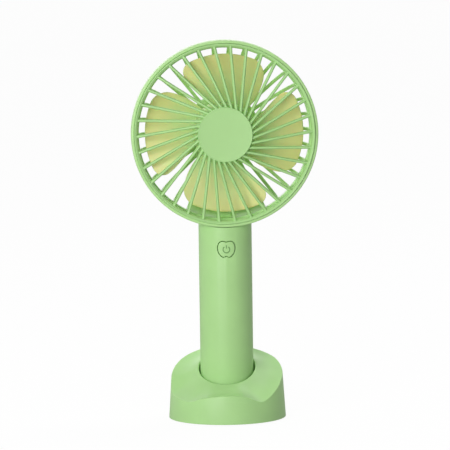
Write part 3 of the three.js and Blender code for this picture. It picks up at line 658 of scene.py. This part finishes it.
def stand_profile(degrees):
    """Section (r, z) of the hollow stand at an azimuth, once around from the socket's floor."""
    steps = [1 - k / 12 for k in range(13)]
    top = [(*dish_point(degrees, t), 0) for t in steps]
    top[0] = (*top[0][:2], 0.35)
    top[-1] = (*top[-1][:2], 0.45)
    under = []
    for t in reversed(steps[::3]):
        r, z = dish_point(degrees, t)
        under.append(sharp(r - STAND_WALL * (t - 0.5) * 2, z - STAND_WALL))
    return rounded([
        sharp(0, SOCKET_FLOOR_Z - SOCKET_FLOOR_THICKNESS),
        sharp(SOCKET_R + SOCKET_FLOOR_THICKNESS, SOCKET_FLOOR_Z - SOCKET_FLOOR_THICKNESS),
        *under,
        sharp(STAND_R - STAND_WALL, STAND_BOTTOM_Z),
        (STAND_R, STAND_BOTTOM_Z, 0.25),
        *top,
        (SOCKET_R, SOCKET_FLOOR_Z, 0.6),
        sharp(0, SOCKET_FLOOR_Z),
    ])


def pan_head(radius, height, reach, direction):
    """Screw with a low domed head and a cross recess, with the head's seat at 0 and its top at height.
    The head looks along -Z for the stand (direction "down") or along +Y for the handle (direction "back")."""
    shank_r = 0.9
    wing_half = 0.62 * radius
    wing_half_width = 0.3
    recess_depth = 0.7
    corners = [
        sharp(0, -reach), (shank_r, -reach, 0.2), sharp(shank_r, 0), (radius, 0, 0.1),
        (radius, 0.45 * height, 0.25), (0.6 * radius, height, 0.5), sharp(0, height),
    ]
    screw = turned_upright(corners, SMALL)
    for turn in (0, 90):
        wing = block(
            (-wing_half, wing_half), (-wing_half_width, wing_half_width), (height - recess_depth, height + 1)
        )
        wing.data.transform(Matrix.Rotation(math.radians(turn + 45), 4, "Z"))
        screw = cut(screw, wing)
    if direction == "down":
        screw.data.transform(Matrix.Rotation(math.pi, 4, "X"))
    else:
        screw.data.transform(Matrix.Rotation(-math.pi / 2, 4, "X"))
    return screw


def make_stand():
    shell = loft([
        [around(360 * s / ROUND, r, z) for r, z in stand_profile(360 * s / ROUND)] for s in range(ROUND)
    ], ring=True)
    ribs = []
    for degrees in (45, 135, 225, 315):
        rib = block((-0.8, 0.8), (-0.7, 0.7), (SOCKET_FLOOR_Z - 0.4, RIB_TOP_Z))
        x, y, _ = around(degrees, SOCKET_R + 0.2, 0)
        rib.data.transform(Matrix.Translation((x, y, 0)) @ Matrix.Rotation(math.radians(degrees), 4, "Z"))
        ribs.append(rib)
    publish(joined(shell, *ribs), "stand_cover", "stand", "lime_plastic", ["stand_shell"])

    plate_r = STAND_R - STAND_WALL - GAP
    plate = turned_upright([
        sharp(0, STAND_BOTTOM_Z), (plate_r, STAND_BOTTOM_Z, 0.25),
        sharp(plate_r, PLATE_TOP_Z), sharp(0, PLATE_TOP_Z),
    ])
    cutters = []
    for side, degrees in (("front", 0), ("right", 90), ("back", 180), ("left", 270)):
        x, y, _ = around(degrees, STAND_SCREW_RADIUS, 0)
        cutters.append(post(2.7, 0, STAND_SCREW_SEAT_Z + GAP, x, y))
        screw = pan_head(2.35, 0.65, 9.0, "down")
        screw.data.transform(Matrix.Translation((x, y, STAND_SCREW_SEAT_Z)))
        publish(screw, f"stand_fixing_{side}", "stand", "screw_steel", [f"stand_screw_{side}"])
    for side, degrees in (("front_right", 45), ("back_right", 135), ("back_left", 225), ("front_left", 315)):
        x, y, _ = around(degrees, STAND_FOOT_RADIUS, 0)
        cutters.append(post(FOOT_R + GAP, 0, FOOT_HEIGHT + GAP, x, y))
        foot = turned_upright([
            sharp(0, 0), (FOOT_R, 0, 0.3), (FOOT_R, FOOT_HEIGHT, 0.1), sharp(0, FOOT_HEIGHT),
        ], SMALL, x, y)
        publish(foot, f"rubber_foot_{side}", "stand", "foot_rubber", [f"stand_foot_{side}"])
    publish(cut(plate, *cutters), "stand_base", "stand", "lime_plastic", ["stand_plate"])


# ---- handle

def bowl_point(along, offset=0.0):
    """Radius and y on the bowl, by how far along it (0 at the rim, 90 at the hub), moved outwards."""
    a = BOWL_RIM_R - REAR_HUB_R
    cos = math.cos(math.radians(along))
    sin = math.sin(math.radians(along))
    length = math.hypot(cos / a, sin / BOWL_DEPTH)
    return (
        REAR_HUB_R + a * cos + offset * cos / a / length,
        BOWL_FRONT_Y + BOWL_DEPTH * sin + offset * sin / BOWL_DEPTH / length,
    )


def guard_envelope(clearance):
    """Outer surface of the rear guard grown by a clearance, with everything in front of it."""
    corners = [
        sharp(0, -WIDE), sharp(RIM_R + clearance, -WIDE), sharp(RIM_R + clearance, RIM_BEVEL_Y),
        sharp(RIM_R - 1.2 + clearance, RIM_REAR_Y + clearance),
    ]
    corners += [sharp(*bowl_point(12 + 4 * k, 1.1 + clearance)) for k in range(17)]
    corners.append(sharp(0, corners[-1][1]))
    return turned_head(corners, 2 * ROUND)


def above_shoulder(drop):
    """Space above the sloping shoulder at the back of the handle."""
    y0, z0 = SHOULDER
    low = [(-WIDE, y, z0 - drop - SHOULDER_SLOPE * (y - y0)) for y in (-WIDE, WIDE)]
    section = [low[0], low[1], (-WIDE, WIDE, HIGH), (-WIDE, -WIDE, HIGH)]
    return loft([section, [(WIDE, y, z) for _, y, z in section]])


def parting(side):
    """Everything on the other side of the parting plane, with a chamfer where it reaches the surface.
    side is -1 for the front shell, which keeps y below 0, and 1 for the rear shell."""
    chamfer = 0.22
    past = 3  # how far the cutter runs on past the chamfer
    inside = side * GAP / 2
    edge = HANDLE_R - chamfer
    points = [
        (-edge, inside), (edge, inside), (edge + past, inside + side * past), (edge + past, -side * WIDE),
        (-edge - past, -side * WIDE), (-edge - past, inside + side * past),
    ]
    return loft([[(x, y, z) for x, y in points] for z in (0, HIGH)])


QUARTER = (0, 22.5, 45, 67.5, 90)  # steps of a rounded edge, in degrees


def surface_y(x, radius):
    """How far in front of the handle's axis its round surface lies."""
    return math.sqrt(radius ** 2 - x ** 2)


def surface_cutter(outline, centre_z, side, grow, flare, depth):
    """Cutter for a hole in the round handle, whose edge is rounded off by a flare.
    outline holds (x, z) points about the hole's centre; side is -1 for the front, 1 for the back."""
    rings = [(-1.5, flare)]
    for degrees in QUARTER:
        a = math.radians(degrees)
        rings.append((flare * (1 - math.cos(a)), flare * (1 - math.sin(a))))
    rings.append((depth, 0))
    sections = []
    for into, out in rings:
        section = []
        for x, z in outline:
            length = math.hypot(x, z)
            share = 1 + (grow + out) / length
            y = side * (surface_y(x * share, HANDLE_R) - into)
            section.append((x * share, y, centre_z + z * share))
        sections.append(section)
    return loft(sections)


BUTTON_HALF = [
    (0, 3.8), (1.3, 4.2), (2.75, 4.2), (4.0, 3.2), (4.6, 1.0), (4.25, -1.3), (3.65, -2.45),
    (2.75, -3.45), (1.45, -4.2), (0.6, -3.8), (0, -3.55),
]


def button_outline():
    """Fruit-shaped outline of the button, about its own centre."""
    mirrored = [(-x, z) for x, z in reversed(BUTTON_HALF[1:-1])]
    return [(p.x, p.y) for p in smooth_loop(BUTTON_HALF + mirrored, 6)]


def circle(radius):
    angles = [2 * math.pi * k / SMALL for k in range(SMALL)]
    return [(radius * math.sin(a), radius * math.cos(a)) for a in angles]


def handle_tube():
    """The whole handle above its end cap, hollow, closed by a roof under the head."""
    blank_top = 130
    outside = turned_upright([
        sharp(0, CAP_TOP_Z + GAP), (HANDLE_R, CAP_TOP_Z + GAP, 0.2),
        sharp(HANDLE_R, blank_top), sharp(0, blank_top),
    ])
    outside = cut(outside, guard_envelope(GAP), above_shoulder(0))
    hollow = post(HANDLE_BORE_R, 4, blank_top, 0, 0, ROUND)
    hollow = cut(hollow, guard_envelope(GAP + HANDLE_WALL), above_shoulder(HANDLE_WALL * 1.4))
    return cut(outside, hollow)


def make_handle():
    screw_rows = (("neck", NECK_SCREW_Z), ("lower", LOWER_SCREW_Z))
    boss_front_y = -13.5

    front = cut(handle_tube(), parting(-1))
    front = joined(
        front,
        rod(FRONT_BOSS_R, boss_front_y, TONGUE_FRONT_Y - GAP, 0, NECK_SCREW_Z),
        rod(FRONT_BOSS_R, boss_front_y, -0.5, 0, LOWER_SCREW_Z),
    )
    front = cut(
        front,
        block(
            (-TONGUE_HALF_WIDTH - GAP, TONGUE_HALF_WIDTH + GAP),
            (TONGUE_FRONT_Y - GAP, 0),
            (TONGUE_BOTTOM_Z - GAP, TONGUE_TOP_Z + 3),
        ),
        surface_cutter(button_outline(), BUTTON_Z, -1, BUTTON_GAP, 0.2, 6),
        *[rod(PILOT_R, -11, 0, 0, z) for _, z in screw_rows],
    )
    publish(front, "handle_front", "handset", "lime_plastic", ["handle_front_shell"])

    rear = cut(handle_tube(), parting(1))
    rear = joined(rear, *[rod(REAR_BOSS_R, 0.5, 13.4, 0, z) for _, z in screw_rows])
    rear = cut(
        rear,
        block((-2, 2), (0, 3.2), (104, 112)),
        surface_cutter(slot_outline(PORT_HALF_LENGTH + 0.1, PORT_R + GAP), PORT_Z, 1, 0, 0.3, 6),
        surface_cutter(circle(LENS_R + GAP), LIGHT_Z, 1, 0, 0.15, 6),
        *[surface_cutter(circle(SCREW_POCKET_R), z, 1, 0, 0.25, SCREW_POCKET_DEPTH) for _, z in screw_rows],
        *[rod(PILOT_R, -1, 13, 0, z) for _, z in screw_rows],
    )
    publish(rear, "handle_rear", "handset", "lime_plastic", ["handle_rear_shell"])

    cap = turned_upright([
        sharp(0, CAP_BOTTOM_Z), (13.3, CAP_BOTTOM_Z, 0.8), (HANDLE_R, 6.2, 0.8), (HANDLE_R, CAP_TOP_Z, 0.2),
        sharp(CAP_SPIGOT_R, CAP_TOP_Z), (CAP_SPIGOT_R, CAP_SPIGOT_TOP_Z, 0.2),
        (CAP_SPIGOT_BORE_R, CAP_SPIGOT_TOP_Z, 0.2), sharp(CAP_SPIGOT_BORE_R, CAP_TOP_Z), sharp(0, CAP_TOP_Z),
    ])
    publish(cap, "handle_foot_cap", "handset", "lime_plastic", ["handle_end_cap"])

    for name, z in screw_rows:
        screw = pan_head(2.15, 1.4, 20.5, "back")
        screw.data.transform(Matrix.Translation((0, 11.95, z)))
        publish(screw, f"handle_fixing_{name}", "handset", "screw_steel", [f"handle_screw_{name}"])


def standby_symbol(bottom, top, half_width):
    """Standby symbol, an open ring and a bar, between two depths under the button's face."""
    ring_steps = 40

    def strip(path):
        """Band along a path of points (x, z), each with its sideways direction."""
        sections = []
        for (x, z), (ax, az) in path:
            section = []
            for side in (-1, 1):
                px = x + side * half_width * ax
                pz = z + side * half_width * az
                face = surface_y(px, BUTTON_FACE_R)
                section.append(((px, bottom - face, BUTTON_Z + pz), (px, top - face, BUTTON_Z + pz)))
            (low_a, high_a), (low_b, high_b) = section
            sections.append([low_a, low_b, high_b, high_a])
        return loft(sections)

    ring = []
    for k in range(ring_steps + 1):
        angle = math.radians(SYMBOL_OPENING + (360 - 2 * SYMBOL_OPENING) * k / ring_steps)
        out = (math.sin(angle), math.cos(angle))
        ring.append(((SYMBOL_R * out[0], SYMBOL_R * out[1]), out))
    bar = [((0, z), (1, 0)) for z in (0.55, 1.1, 1.7, 2.3)]
    return gathered([strip(ring), strip(bar)])


def make_button():
    outline = button_outline()
    flat = [
        (BUTTON_FLANGE_REAR_Y, BUTTON_FLANGE),
        (BUTTON_FLANGE_FRONT_Y, BUTTON_FLANGE),
        (BUTTON_FLANGE_FRONT_Y, 0),
    ]

    def grown(distance):
        """The button's outline moved outwards by a distance."""
        made = []
        for x, z in outline:
            share = 1 + distance / math.hypot(x, z)
            made.append((x * share, z * share))
        return made

    sections = [[(x, y, BUTTON_Z + z) for x, z in grown(grow)] for y, grow in flat]
    for degrees in QUARTER:
        a = math.radians(degrees)
        into = BUTTON_EDGE * (1 - math.sin(a))
        inset = BUTTON_EDGE * (1 - math.cos(a))
        sections.append([(x, into - surface_y(x, BUTTON_FACE_R), BUTTON_Z + z) for x, z in grown(-inset)])
    for share in (0.8, 0.6, 0.4, 0.2, 0.05):
        sections.append([
            (x * share, -surface_y(x * share, BUTTON_FACE_R), BUTTON_Z + z * share)
            for x, z in grown(-BUTTON_EDGE)
        ])
    button = cut(loft(sections), standby_symbol(0.5, -1.5, 0.3))
    publish(button, "standby_button", "power_button", "lime_plastic", ["power_button"])
    # painted shade: a darker green fill in the bottom of the engraved symbol stands in for the shade inside
    # its groove
    publish(standby_symbol(0.46, 0.12, 0.27), "standby_symbol", "power_button", "symbol_painted_shade")


def make_port():
    """Charging socket's rolled steel shell, and the charge light's lens."""
    def flat_tube(radius, y_from, y_to):
        outline = slot_outline(PORT_HALF_LENGTH, radius)
        return loft([[(x, y, PORT_Z + z) for x, z in outline] for y in (y_from, y_to)])

    shell = flat_tube(PORT_R, PORT_FRONT_Y, PORT_REAR_Y)
    shell = cut(shell, flat_tube(PORT_BORE_R, PORT_FLOOR_Y, PORT_REAR_Y + 1))
    publish(shell, "socket_shell", "handset", "port_steel", ["charge_port_shell"])
    lens = turned_level([
        sharp(0, LENS_FRONT_Y), sharp(LENS_R, LENS_FRONT_Y), (LENS_R, LENS_REAR_Y - 0.05, 0.35),
        sharp(0, LENS_REAR_Y),
    ], 0, LIGHT_Z)
    publish(lens, "light_lens", "handset", "clear_lens", ["charge_light_lens"])


# ---- rear guard

def spoke_angle(k):
    """Clockwise angle of a spoke's outer end, by its number."""
    return SPOKE_FIRST + SPOKE_PITCH * k


def across_head(degrees, distance):
    """Sideways step in the head's plane, at right angles to a clockwise angle."""
    angle = math.radians(degrees)
    return Vector((distance * math.cos(angle), 0, -distance * math.sin(angle)))


def bowl_bar(degrees, width, inward, outward, start, end, steps, fillet, flare=0.0):
    """Bar that follows the bowl at one clockwise angle. A flare widens its two ends."""
    section_shape = rounded([
        (-width / 2, -inward, fillet), (-width / 2, outward, fillet),
        (width / 2, outward, fillet), (width / 2, -inward, fillet),
    ], steps=3)
    sections = []
    for i in range(steps + 1):
        share = i / steps
        along = start + (end - start) * share
        from_end = min(share, 1 - share) * 2
        widen = 1 + flare * max(0.0, 1 - 5 * from_end) ** 2
        section = []
        for side, offset in section_shape:
            middle = Vector(on_head(degrees, *bowl_point(along, offset)))
            section.append(middle + across_head(degrees, side * widen))
        sections.append(section)
    return loft(sections)


def web():
    """Closed skin between two spokes near the rim, above the handle."""
    first = spoke_angle(WEB_FIRST_SPOKE)
    last = spoke_angle(WEB_LAST_SPOKE)
    steps = 40
    alongs = [-4 + 2.5 * k for k in range(17)]
    sections = []
    for i in range(steps + 1):
        angle = first + (last - first) * i / steps
        outer = [on_head(angle, *bowl_point(t, WEB_HALF_THICKNESS)) for t in alongs]
        inner = [on_head(angle, *bowl_point(t, -WEB_HALF_THICKNESS)) for t in reversed(alongs)]
        sections.append(outer + inner)
    return loft(sections)


def make_rear_guard():
    rim = turned_head([
        (RIM_INNER_R, RIM_FRONT_Y, 0.25), (RIM_R, RIM_FRONT_Y, 0.8), (RIM_R, RIM_BEVEL_Y, 0.4),
        (RIM_R - 1.3, RIM_REAR_Y, 0.4), (SEAT_INNER_R, RIM_REAR_Y, 0.3),
        (SEAT_INNER_R, SEAT_FRONT_Y, 0.3), sharp(RIM_INNER_R, SEAT_FRONT_Y),
    ], 2 * ROUND)
    hub = turned_head([
        sharp(0, MOTOR_REAR_Y), sharp(MOTOR_POCKET_R, MOTOR_REAR_Y), sharp(MOTOR_POCKET_R, MOTOR_FRONT_Y),
        (MOTOR_COLLAR_R, MOTOR_FRONT_Y, 0.2), sharp(MOTOR_COLLAR_R, REAR_HUB_FRONT_Y),
        (REAR_HUB_R - 0.3, REAR_HUB_FRONT_Y, 0.3), (REAR_HUB_R, REAR_HUB_REAR_Y - 0.4, 0.9),
        (REAR_HUB_R - 2.2, REAR_HUB_REAR_Y, 0.3), (REAR_HUB_R - 2.6, REAR_HUB_REAR_Y - 0.5, 0.2),
        (REAR_HUB_R - 3.2, REAR_HUB_REAR_Y - 0.5, 0.2), (REAR_HUB_R - 3.6, REAR_HUB_REAR_Y, 0.3),
        sharp(0, REAR_HUB_REAR_Y),
    ])
    half = REAR_SPOKE_DEPTH / 2
    spokes = gathered([
        bowl_bar(spoke_angle(k), REAR_SPOKE_WIDTH, half, half, 0, BOWL_END, 28, 0.6, REAR_SPOKE_FLARE)
        for k in range(SPOKES)
    ])
    arm_depth = (MOTOR_FRONT_Y + 0.2, MOTOR_REAR_Y)
    arm_height = (HEAD_Z - CLAMP_ARM_HALF_HEIGHT, HEAD_Z + CLAMP_ARM_HALF_HEIGHT)
    arm_inner_x = MOTOR_COLLAR_R - 0.5
    guard = joined(
        rim, hub, spokes, web(),
        bowl_bar(180, DUCT_WIDTH, DUCT_INWARD, half, 12, BOWL_END, 24, 0.8),
        block(
            (-TONGUE_HALF_WIDTH, TONGUE_HALF_WIDTH),
            (TONGUE_FRONT_Y, TONGUE_REAR_Y),
            (TONGUE_BOTTOM_Z, TONGUE_TOP_Z),
        ),
        rod(CLAMP_POST_R, MOTOR_FRONT_Y, MOTOR_REAR_Y, CLAMP_SCREW_X, HEAD_Z),
        rod(CLAMP_POST_R, MOTOR_FRONT_Y, MOTOR_REAR_Y, -CLAMP_SCREW_X, HEAD_Z),
        block((-CLAMP_SCREW_X, -arm_inner_x), arm_depth, arm_height),
        block((arm_inner_x, CLAMP_SCREW_X), arm_depth, arm_height),
    )
    slots = []
    reach = LUG_HALF_ANGLE + 1
    inner = RIM_INNER_R - 0.5
    lip = 1.2  # thickness of the rim in front of a lug's entry
    for angle in LUG_ANGLES:
        start = angle - LOCK_TURN
        slots.append(head_arc(
            inner, LUG_SLOT_R, start - reach, angle + reach, LUG_FRONT_Y - GAP, LUG_REAR_Y + GAP, 16
        ))
        slots.append(head_arc(inner, LUG_SLOT_R, start - reach, start + reach, RIM_FRONT_Y + lip, LUG_REAR_Y))
    guard = cut(
        guard,
        bowl_bar(180, DUCT_BORE_WIDTH, DUCT_BORE_DEPTH, 0, 14, 88, 24, 0.2),
        block((-1.8, 1.8), (10.9, 15.2), (HEAD_Z - 24, HEAD_Z - 9)),  # leads' way from the duct to the motor
        block((-1.9, 1.9), (0.2, 3.0), (100, 112.2)),  # and from the handle to the duct
        rod(1.5, -6, 1, 0, NECK_SCREW_Z),
        rod(CLAMP_PILOT_R, -5, 8, CLAMP_SCREW_X, HEAD_Z),
        rod(CLAMP_PILOT_R, -5, 8, -CLAMP_SCREW_X, HEAD_Z),
        *slots,
    )
    # the back cage's finish is painted lighter, standing in for light on its shaded spokes
    publish(guard, "back_cage", "handset", "guard_plastic", ["rear_guard"])


# ---- front guard

def front_spoke(start, end):
    """Straight spoke between two points, tapered from its base to its crest and widened at both ends."""
    start, end = Vector(start), Vector(end)
    along = (end - start).normalized()
    across = Vector((0, 1, 0)).cross(along).normalized()
    crest, base, depth = FRONT_SPOKE_CREST / 2, FRONT_SPOKE_BASE / 2, FRONT_SPOKE_DEPTH / 2
    shape = rounded([(-crest, -depth, 0.3), (-base, depth, 0.3), (base, depth, 0.3), (crest, -depth, 0.3)])
    ends = (0, 0.02, 0.04, 0.07, 0.11)
    sections = []
    for share in (*ends, 0.5, *[1 - e for e in reversed(ends)]):
        centre = start.lerp(end, share)
        from_end = min(share, 1 - share)
        widen = 1 + FRONT_SPOKE_FLARE * max(0.0, 1 - from_end / ends[-1]) ** 2
        sections.append([centre + across * (a * widen) + Vector((0, b, 0)) for a, b in shape])
    return loft(sections)


def make_front_guard():
    ring = turned_head([
        (GUARD_INNER_R, -13.4, 0.15), (GUARD_INNER_R + 0.6, -15.5, 0.4), (GUARD_R - 0.4, GUARD_FRONT_Y, 0.3),
        (GUARD_R, -16.0, 0.3), (GUARD_R, GUARD_SKIRT_Y, 0.2), (GUARD_R - 1.2, GUARD_SKIRT_Y, 0.2),
        sharp(GUARD_R - 1.2, -12.5), (GUARD_INNER_R, -13.0, 0.15),
    ], 2 * ROUND)
    hub = turned_head([
        sharp(0, GUARD_PLATE_FRONT_Y), (GUARD_HUB_R - 0.7, GUARD_PLATE_FRONT_Y - 0.1, 0.1),
        (GUARD_HUB_R - 0.5, GUARD_HUB_FRONT_Y, 0.1), (GUARD_HUB_R, GUARD_HUB_FRONT_Y, 0.35),
        (GUARD_HUB_R, GUARD_HUB_REAR_Y, 0.3), (GUARD_HUB_R - 1.5, GUARD_HUB_REAR_Y, 0.3),
        sharp(GUARD_HUB_R - 1.5, GUARD_PLATE_REAR_Y), sharp(0, GUARD_PLATE_REAR_Y),
    ])
    spokes = gathered([
        front_spoke(
            on_head(spoke_angle(k), GUARD_INNER_R + 1.3, FRONT_SPOKE_RIM_Y),
            on_head(spoke_angle(k) + SPOKE_SLANT, GUARD_HUB_R - 0.8, FRONT_SPOKE_HUB_Y),
        )
        for k in range(SPOKES)
    ])
    lugs = []
    for angle in LUG_ANGLES:
        start, end = angle - LUG_HALF_ANGLE, angle + LUG_HALF_ANGLE
        lugs.append(head_arc(GUARD_R - 0.6, LUG_R, start, end, LUG_FRONT_Y, LUG_REAR_Y))
    publish(joined(ring, hub, spokes, *lugs), "front_cage", "front_guard", "lime_plastic", ["front_guard"])


# ---- rotor

def through_three(pairs):
    """Quadratic through three (input, output) pairs."""
    (x0, y0), (x1, y1), (x2, y2) = pairs
    return lambda x: (
        y0 * (x - x1) * (x - x2) / ((x0 - x1) * (x0 - x2))
        + y1 * (x - x0) * (x - x2) / ((x1 - x0) * (x1 - x2))
        + y2 * (x - x0) * (x - x1) / ((x2 - x0) * (x2 - x1))
    )


LEADING_EDGE = through_three([(20.3, 46), (31.9, 40), (39.5, 34.4)])
TRAILING_EDGE = through_three([(20.0, -26), (34.7, -35), (40.5, -35.3)])


def blade_edges(r):
    """Clockwise angles of a blade's two edges, from its middle, at one radius."""
    into = min(max(r - (ROTOR_TIP_R - BLADE_CORNER_R), 0.0), BLADE_CORNER_R)
    inset = math.degrees((BLADE_CORNER_R - math.sqrt(BLADE_CORNER_R ** 2 - into ** 2)) / r)
    return (TRAILING_EDGE(r) + inset, LEADING_EDGE(r) - inset)


def edge_round(distance):
    """Share of the full thickness at a distance from a rounded edge."""
    radius = BLADE_THICKNESS / 2
    if distance >= radius:
        return 1.0
    return math.sqrt(max(0.0, 1 - (1 - distance / radius) ** 2))


def blade(middle):
    """One blade about a clockwise angle: a rounded plate on a screw surface."""
    root = ROTOR_HUB_R - 0.9
    near_tip = [0, 0.08, 0.25, 0.6, 1.1, 1.8, 2.8, 4.0, 5.5, 7.5, 10.0, 13.0, 16.5, 20.0, 23.5]
    radii = [root] + [ROTOR_TIP_R - d for d in reversed(near_tip)]
    steps = 36
    front, back = [], []
    for r in radii:
        low, high = blade_edges(r)
        for i in range(steps + 1):
            share = 0.5 - 0.5 * math.cos(math.pi * i / steps)
            degrees = low + (high - low) * share
            side_distance = math.radians(min(degrees - low, high - degrees)) * r
            half = BLADE_THICKNESS / 2 * edge_round(side_distance) * edge_round(ROTOR_TIP_R - r)
            y = BLADE_MID_Y + BLADE_RISE * math.radians(degrees)
            front.append(on_head(middle + degrees, r, y - half))
            back.append(on_head(middle + degrees, r, y + half))
    count = len(front)
    row = steps + 1
    faces = []
    for j in range(len(radii) - 1):
        for i in range(steps):
            a = j * row + i
            quad = (a, a + 1, a + row + 1, a + row)
            faces.append(quad)
            faces.append(tuple(count + v for v in reversed(quad)))
    for i in range(steps):
        faces.append((i, count + i, count + i + 1, i + 1))
    return body_of(front + back, faces)


def make_rotor():
    inner = ROTOR_HUB_R - ROTOR_HUB_WALL
    front, rear = ROTOR_HUB_FRONT_Y, ROTOR_HUB_REAR_Y
    hub = turned_head([
        sharp(0, front), (ROTOR_HUB_R, front, 1.6), (ROTOR_HUB_R, rear, 0.3), (inner, rear, 0.3),
        sharp(inner, ROTOR_HUB_FLOOR_Y), sharp(ROTOR_BOSS_R, ROTOR_HUB_FLOOR_Y),
        (ROTOR_BOSS_R, ROTOR_BOSS_REAR_Y, 0.2), sharp(ROTOR_BORE_R, ROTOR_BOSS_REAR_Y),
        sharp(ROTOR_BORE_R, front + ROTOR_HUB_WALL), sharp(0, front + ROTOR_HUB_WALL),
    ])
    blades = [blade(BLADE_FIRST + 360 / BLADES * k) for k in range(BLADES)]
    publish(joined(hub, *blades), "impeller", "rotor", "blade_plastic", ["fan_rotor"])


# ---- carried-over CAD nodes

CARRIED_NODES = {  # by their finish
    "black_plastic": ("switch_body", "switch_plunger", "charge_port_insert", "motor_end_bell"),
    "board_laminate": ("circuit_board",),
    "diode_resin": ("charge_light_diode",),
    "cell_wrap": ("battery_cell",),
    "nickel_strip": ("cell_tab_bottom", "cell_tab_top"),
    "red_insulation": ("cell_lead_red", "motor_lead_red"),
    "black_insulation": ("cell_lead_black", "motor_lead_black"),
    "shaft_steel": ("motor_shaft",),
    "motor_can_steel": ("motor_can",),
    "clamp_steel": ("motor_clamp_plate",),
    "screw_steel": ("motor_screw_left", "motor_screw_right"),
}


def dress_nodes():
    for finish, names in CARRIED_NODES.items():
        for name in names:
            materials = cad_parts[name].data.materials
            materials.clear()
            materials.append(MATERIALS[finish])


# ---- stage

FLOOR_WHITE = 0.947  # as the camera sees the floor
FLOOR_GLOW = 0.4  # as a light on the object
FLOOR_GREY = 0.06  # how much of the lamps' light the floor sends back
FLOOR_RADIUS = 6
BACKDROP_WHITE = 0.985
WHITE_BEHIND = 1.3  # the studio's brightness as a light, on each side of the object
WHITE_LEFT = 0.3
WHITE_RIGHT = 0.11
WHITE_ABOVE = 0.2


def make_floor():
    bpy.ops.mesh.primitive_circle_add(vertices=96, radius=FLOOR_RADIUS, fill_type="NGON", location=(0, 0, 0))
    floor = bpy.context.active_object
    floor.name = "floor"
    material = bpy.data.materials.new("floor_white")
    material.use_nodes = True
    shader = material.node_tree.nodes["Principled BSDF"]
    shader.inputs["Base Color"].default_value = (FLOOR_GREY, FLOOR_GREY, FLOOR_GREY, 1)
    shader.inputs["Roughness"].default_value = 1.0
    shader.inputs["Specular IOR Level"].default_value = 0.0
    shader.inputs["Emission Color"].default_value = (1, 1, 1, 1)
    tree = material.node_tree
    rays = new_node(tree, "LightPath")
    glow = new_node(tree, "MapRange")
    glow.inputs["To Min"].default_value = FLOOR_GLOW
    glow.inputs["To Max"].default_value = FLOOR_WHITE
    tree.links.new(rays.outputs["Is Camera Ray"], glow.inputs["Value"])
    tree.links.new(glow.outputs["Result"], shader.inputs["Emission Strength"])
    floor.data.materials.append(material)


def make_world():
    """Studio: plain white to the camera; as a light it is white behind, fainter at the left and above,
    and dim at the right."""
    world = bpy.data.worlds.new("studio")
    bpy.context.scene.world = world
    world.use_nodes = True
    tree = world.node_tree
    tree.nodes.clear()

    def add(kind, **settings):
        return new_node(tree, kind, **settings)

    direction = add("TexCoord")
    split = add("SeparateXYZ")
    tree.links.new(direction.outputs["Generated"], split.inputs["Vector"])

    def share(axis, low, high, to_low, to_high):
        """Brightness that goes from to_low to to_high as a direction's component goes from low to high."""
        node = add("MapRange", interpolation_type="SMOOTHSTEP")
        node.inputs["From Min"].default_value = low
        node.inputs["From Max"].default_value = high
        node.inputs["To Min"].default_value = to_low
        node.inputs["To Max"].default_value = to_high
        tree.links.new(split.outputs[axis], node.inputs["Value"])
        return node.outputs["Result"]

    behind = share("Y", 0.3, 0.95, 0.0, WHITE_BEHIND)
    side = share("X", -0.7, 0.7, WHITE_LEFT, WHITE_RIGHT)
    above = share("Z", 0.2, 0.9, 0.0, WHITE_ABOVE)
    total = add("Math", operation="ADD")
    tree.links.new(behind, total.inputs[0])
    tree.links.new(side, total.inputs[1])
    whole = add("Math", operation="ADD")
    tree.links.new(total.outputs["Value"], whole.inputs[0])
    tree.links.new(above, whole.inputs[1])

    lighting = add("Background")
    tree.links.new(whole.outputs["Value"], lighting.inputs["Strength"])
    backdrop = add("Background")
    backdrop.inputs["Strength"].default_value = BACKDROP_WHITE
    rays = add("LightPath")
    mix = add("MixShader")
    output = add("OutputWorld")
    tree.links.new(rays.outputs["Is Camera Ray"], mix.inputs["Fac"])
    tree.links.new(lighting.outputs["Background"], mix.inputs[1])
    tree.links.new(backdrop.outputs["Background"], mix.inputs[2])
    tree.links.new(mix.outputs["Shader"], output.inputs["Surface"])
    for node in (lighting, backdrop):
        node.inputs["Color"].default_value = (1, 1, 1, 1)


def make_light(name, azimuth, elevation, size, power):
    """Round lamp that the camera doesn't see, aimed at the middle of the fan."""
    distance = 1.3
    data = bpy.data.lights.new(name, "AREA")
    data.shape = "DISK"
    data.size = size
    data.energy = power
    light = bpy.data.objects.new(name, data)
    bpy.context.scene.collection.objects.link(light)
    aim = Vector((0, 0, 0.11))
    reach = distance * math.cos(math.radians(elevation))
    light.location = aim + Vector(around(azimuth, reach, distance * math.sin(math.radians(elevation))))
    light.rotation_euler = (aim - light.location).to_track_quat("-Z", "Y").to_euler()
    light.visible_camera = False


def make_camera():
    distance = 2.0
    azimuth = -2.3
    height = 0.3089
    aim = Vector((0, 0, 0.106))
    roll = 0.79
    data = bpy.data.cameras.new("camera")
    data.sensor_width = 36
    data.lens = 294.6
    camera = bpy.data.objects.new("camera", data)
    bpy.context.scene.collection.objects.link(camera)
    camera.location = around(azimuth, distance, height)
    turn = (aim - camera.location).to_track_quat("-Z", "Y").to_matrix().to_4x4()
    turn = turn @ Matrix.Rotation(math.radians(-roll), 4, "Z")
    camera.rotation_euler = turn.to_euler()
    bpy.context.scene.camera = camera


make_camera()
make_stand()
make_handle()
make_button()
make_port()
make_rear_guard()
make_front_guard()
make_rotor()
dress_nodes()
make_floor()
make_world()
make_light("key", azimuth=-25, elevation=12, size=0.8, power=10)
make_light("back_top", azimuth=125, elevation=60, size=0.6, power=3.4)
bpy.context.scene.view_settings.view_transform = "Standard"
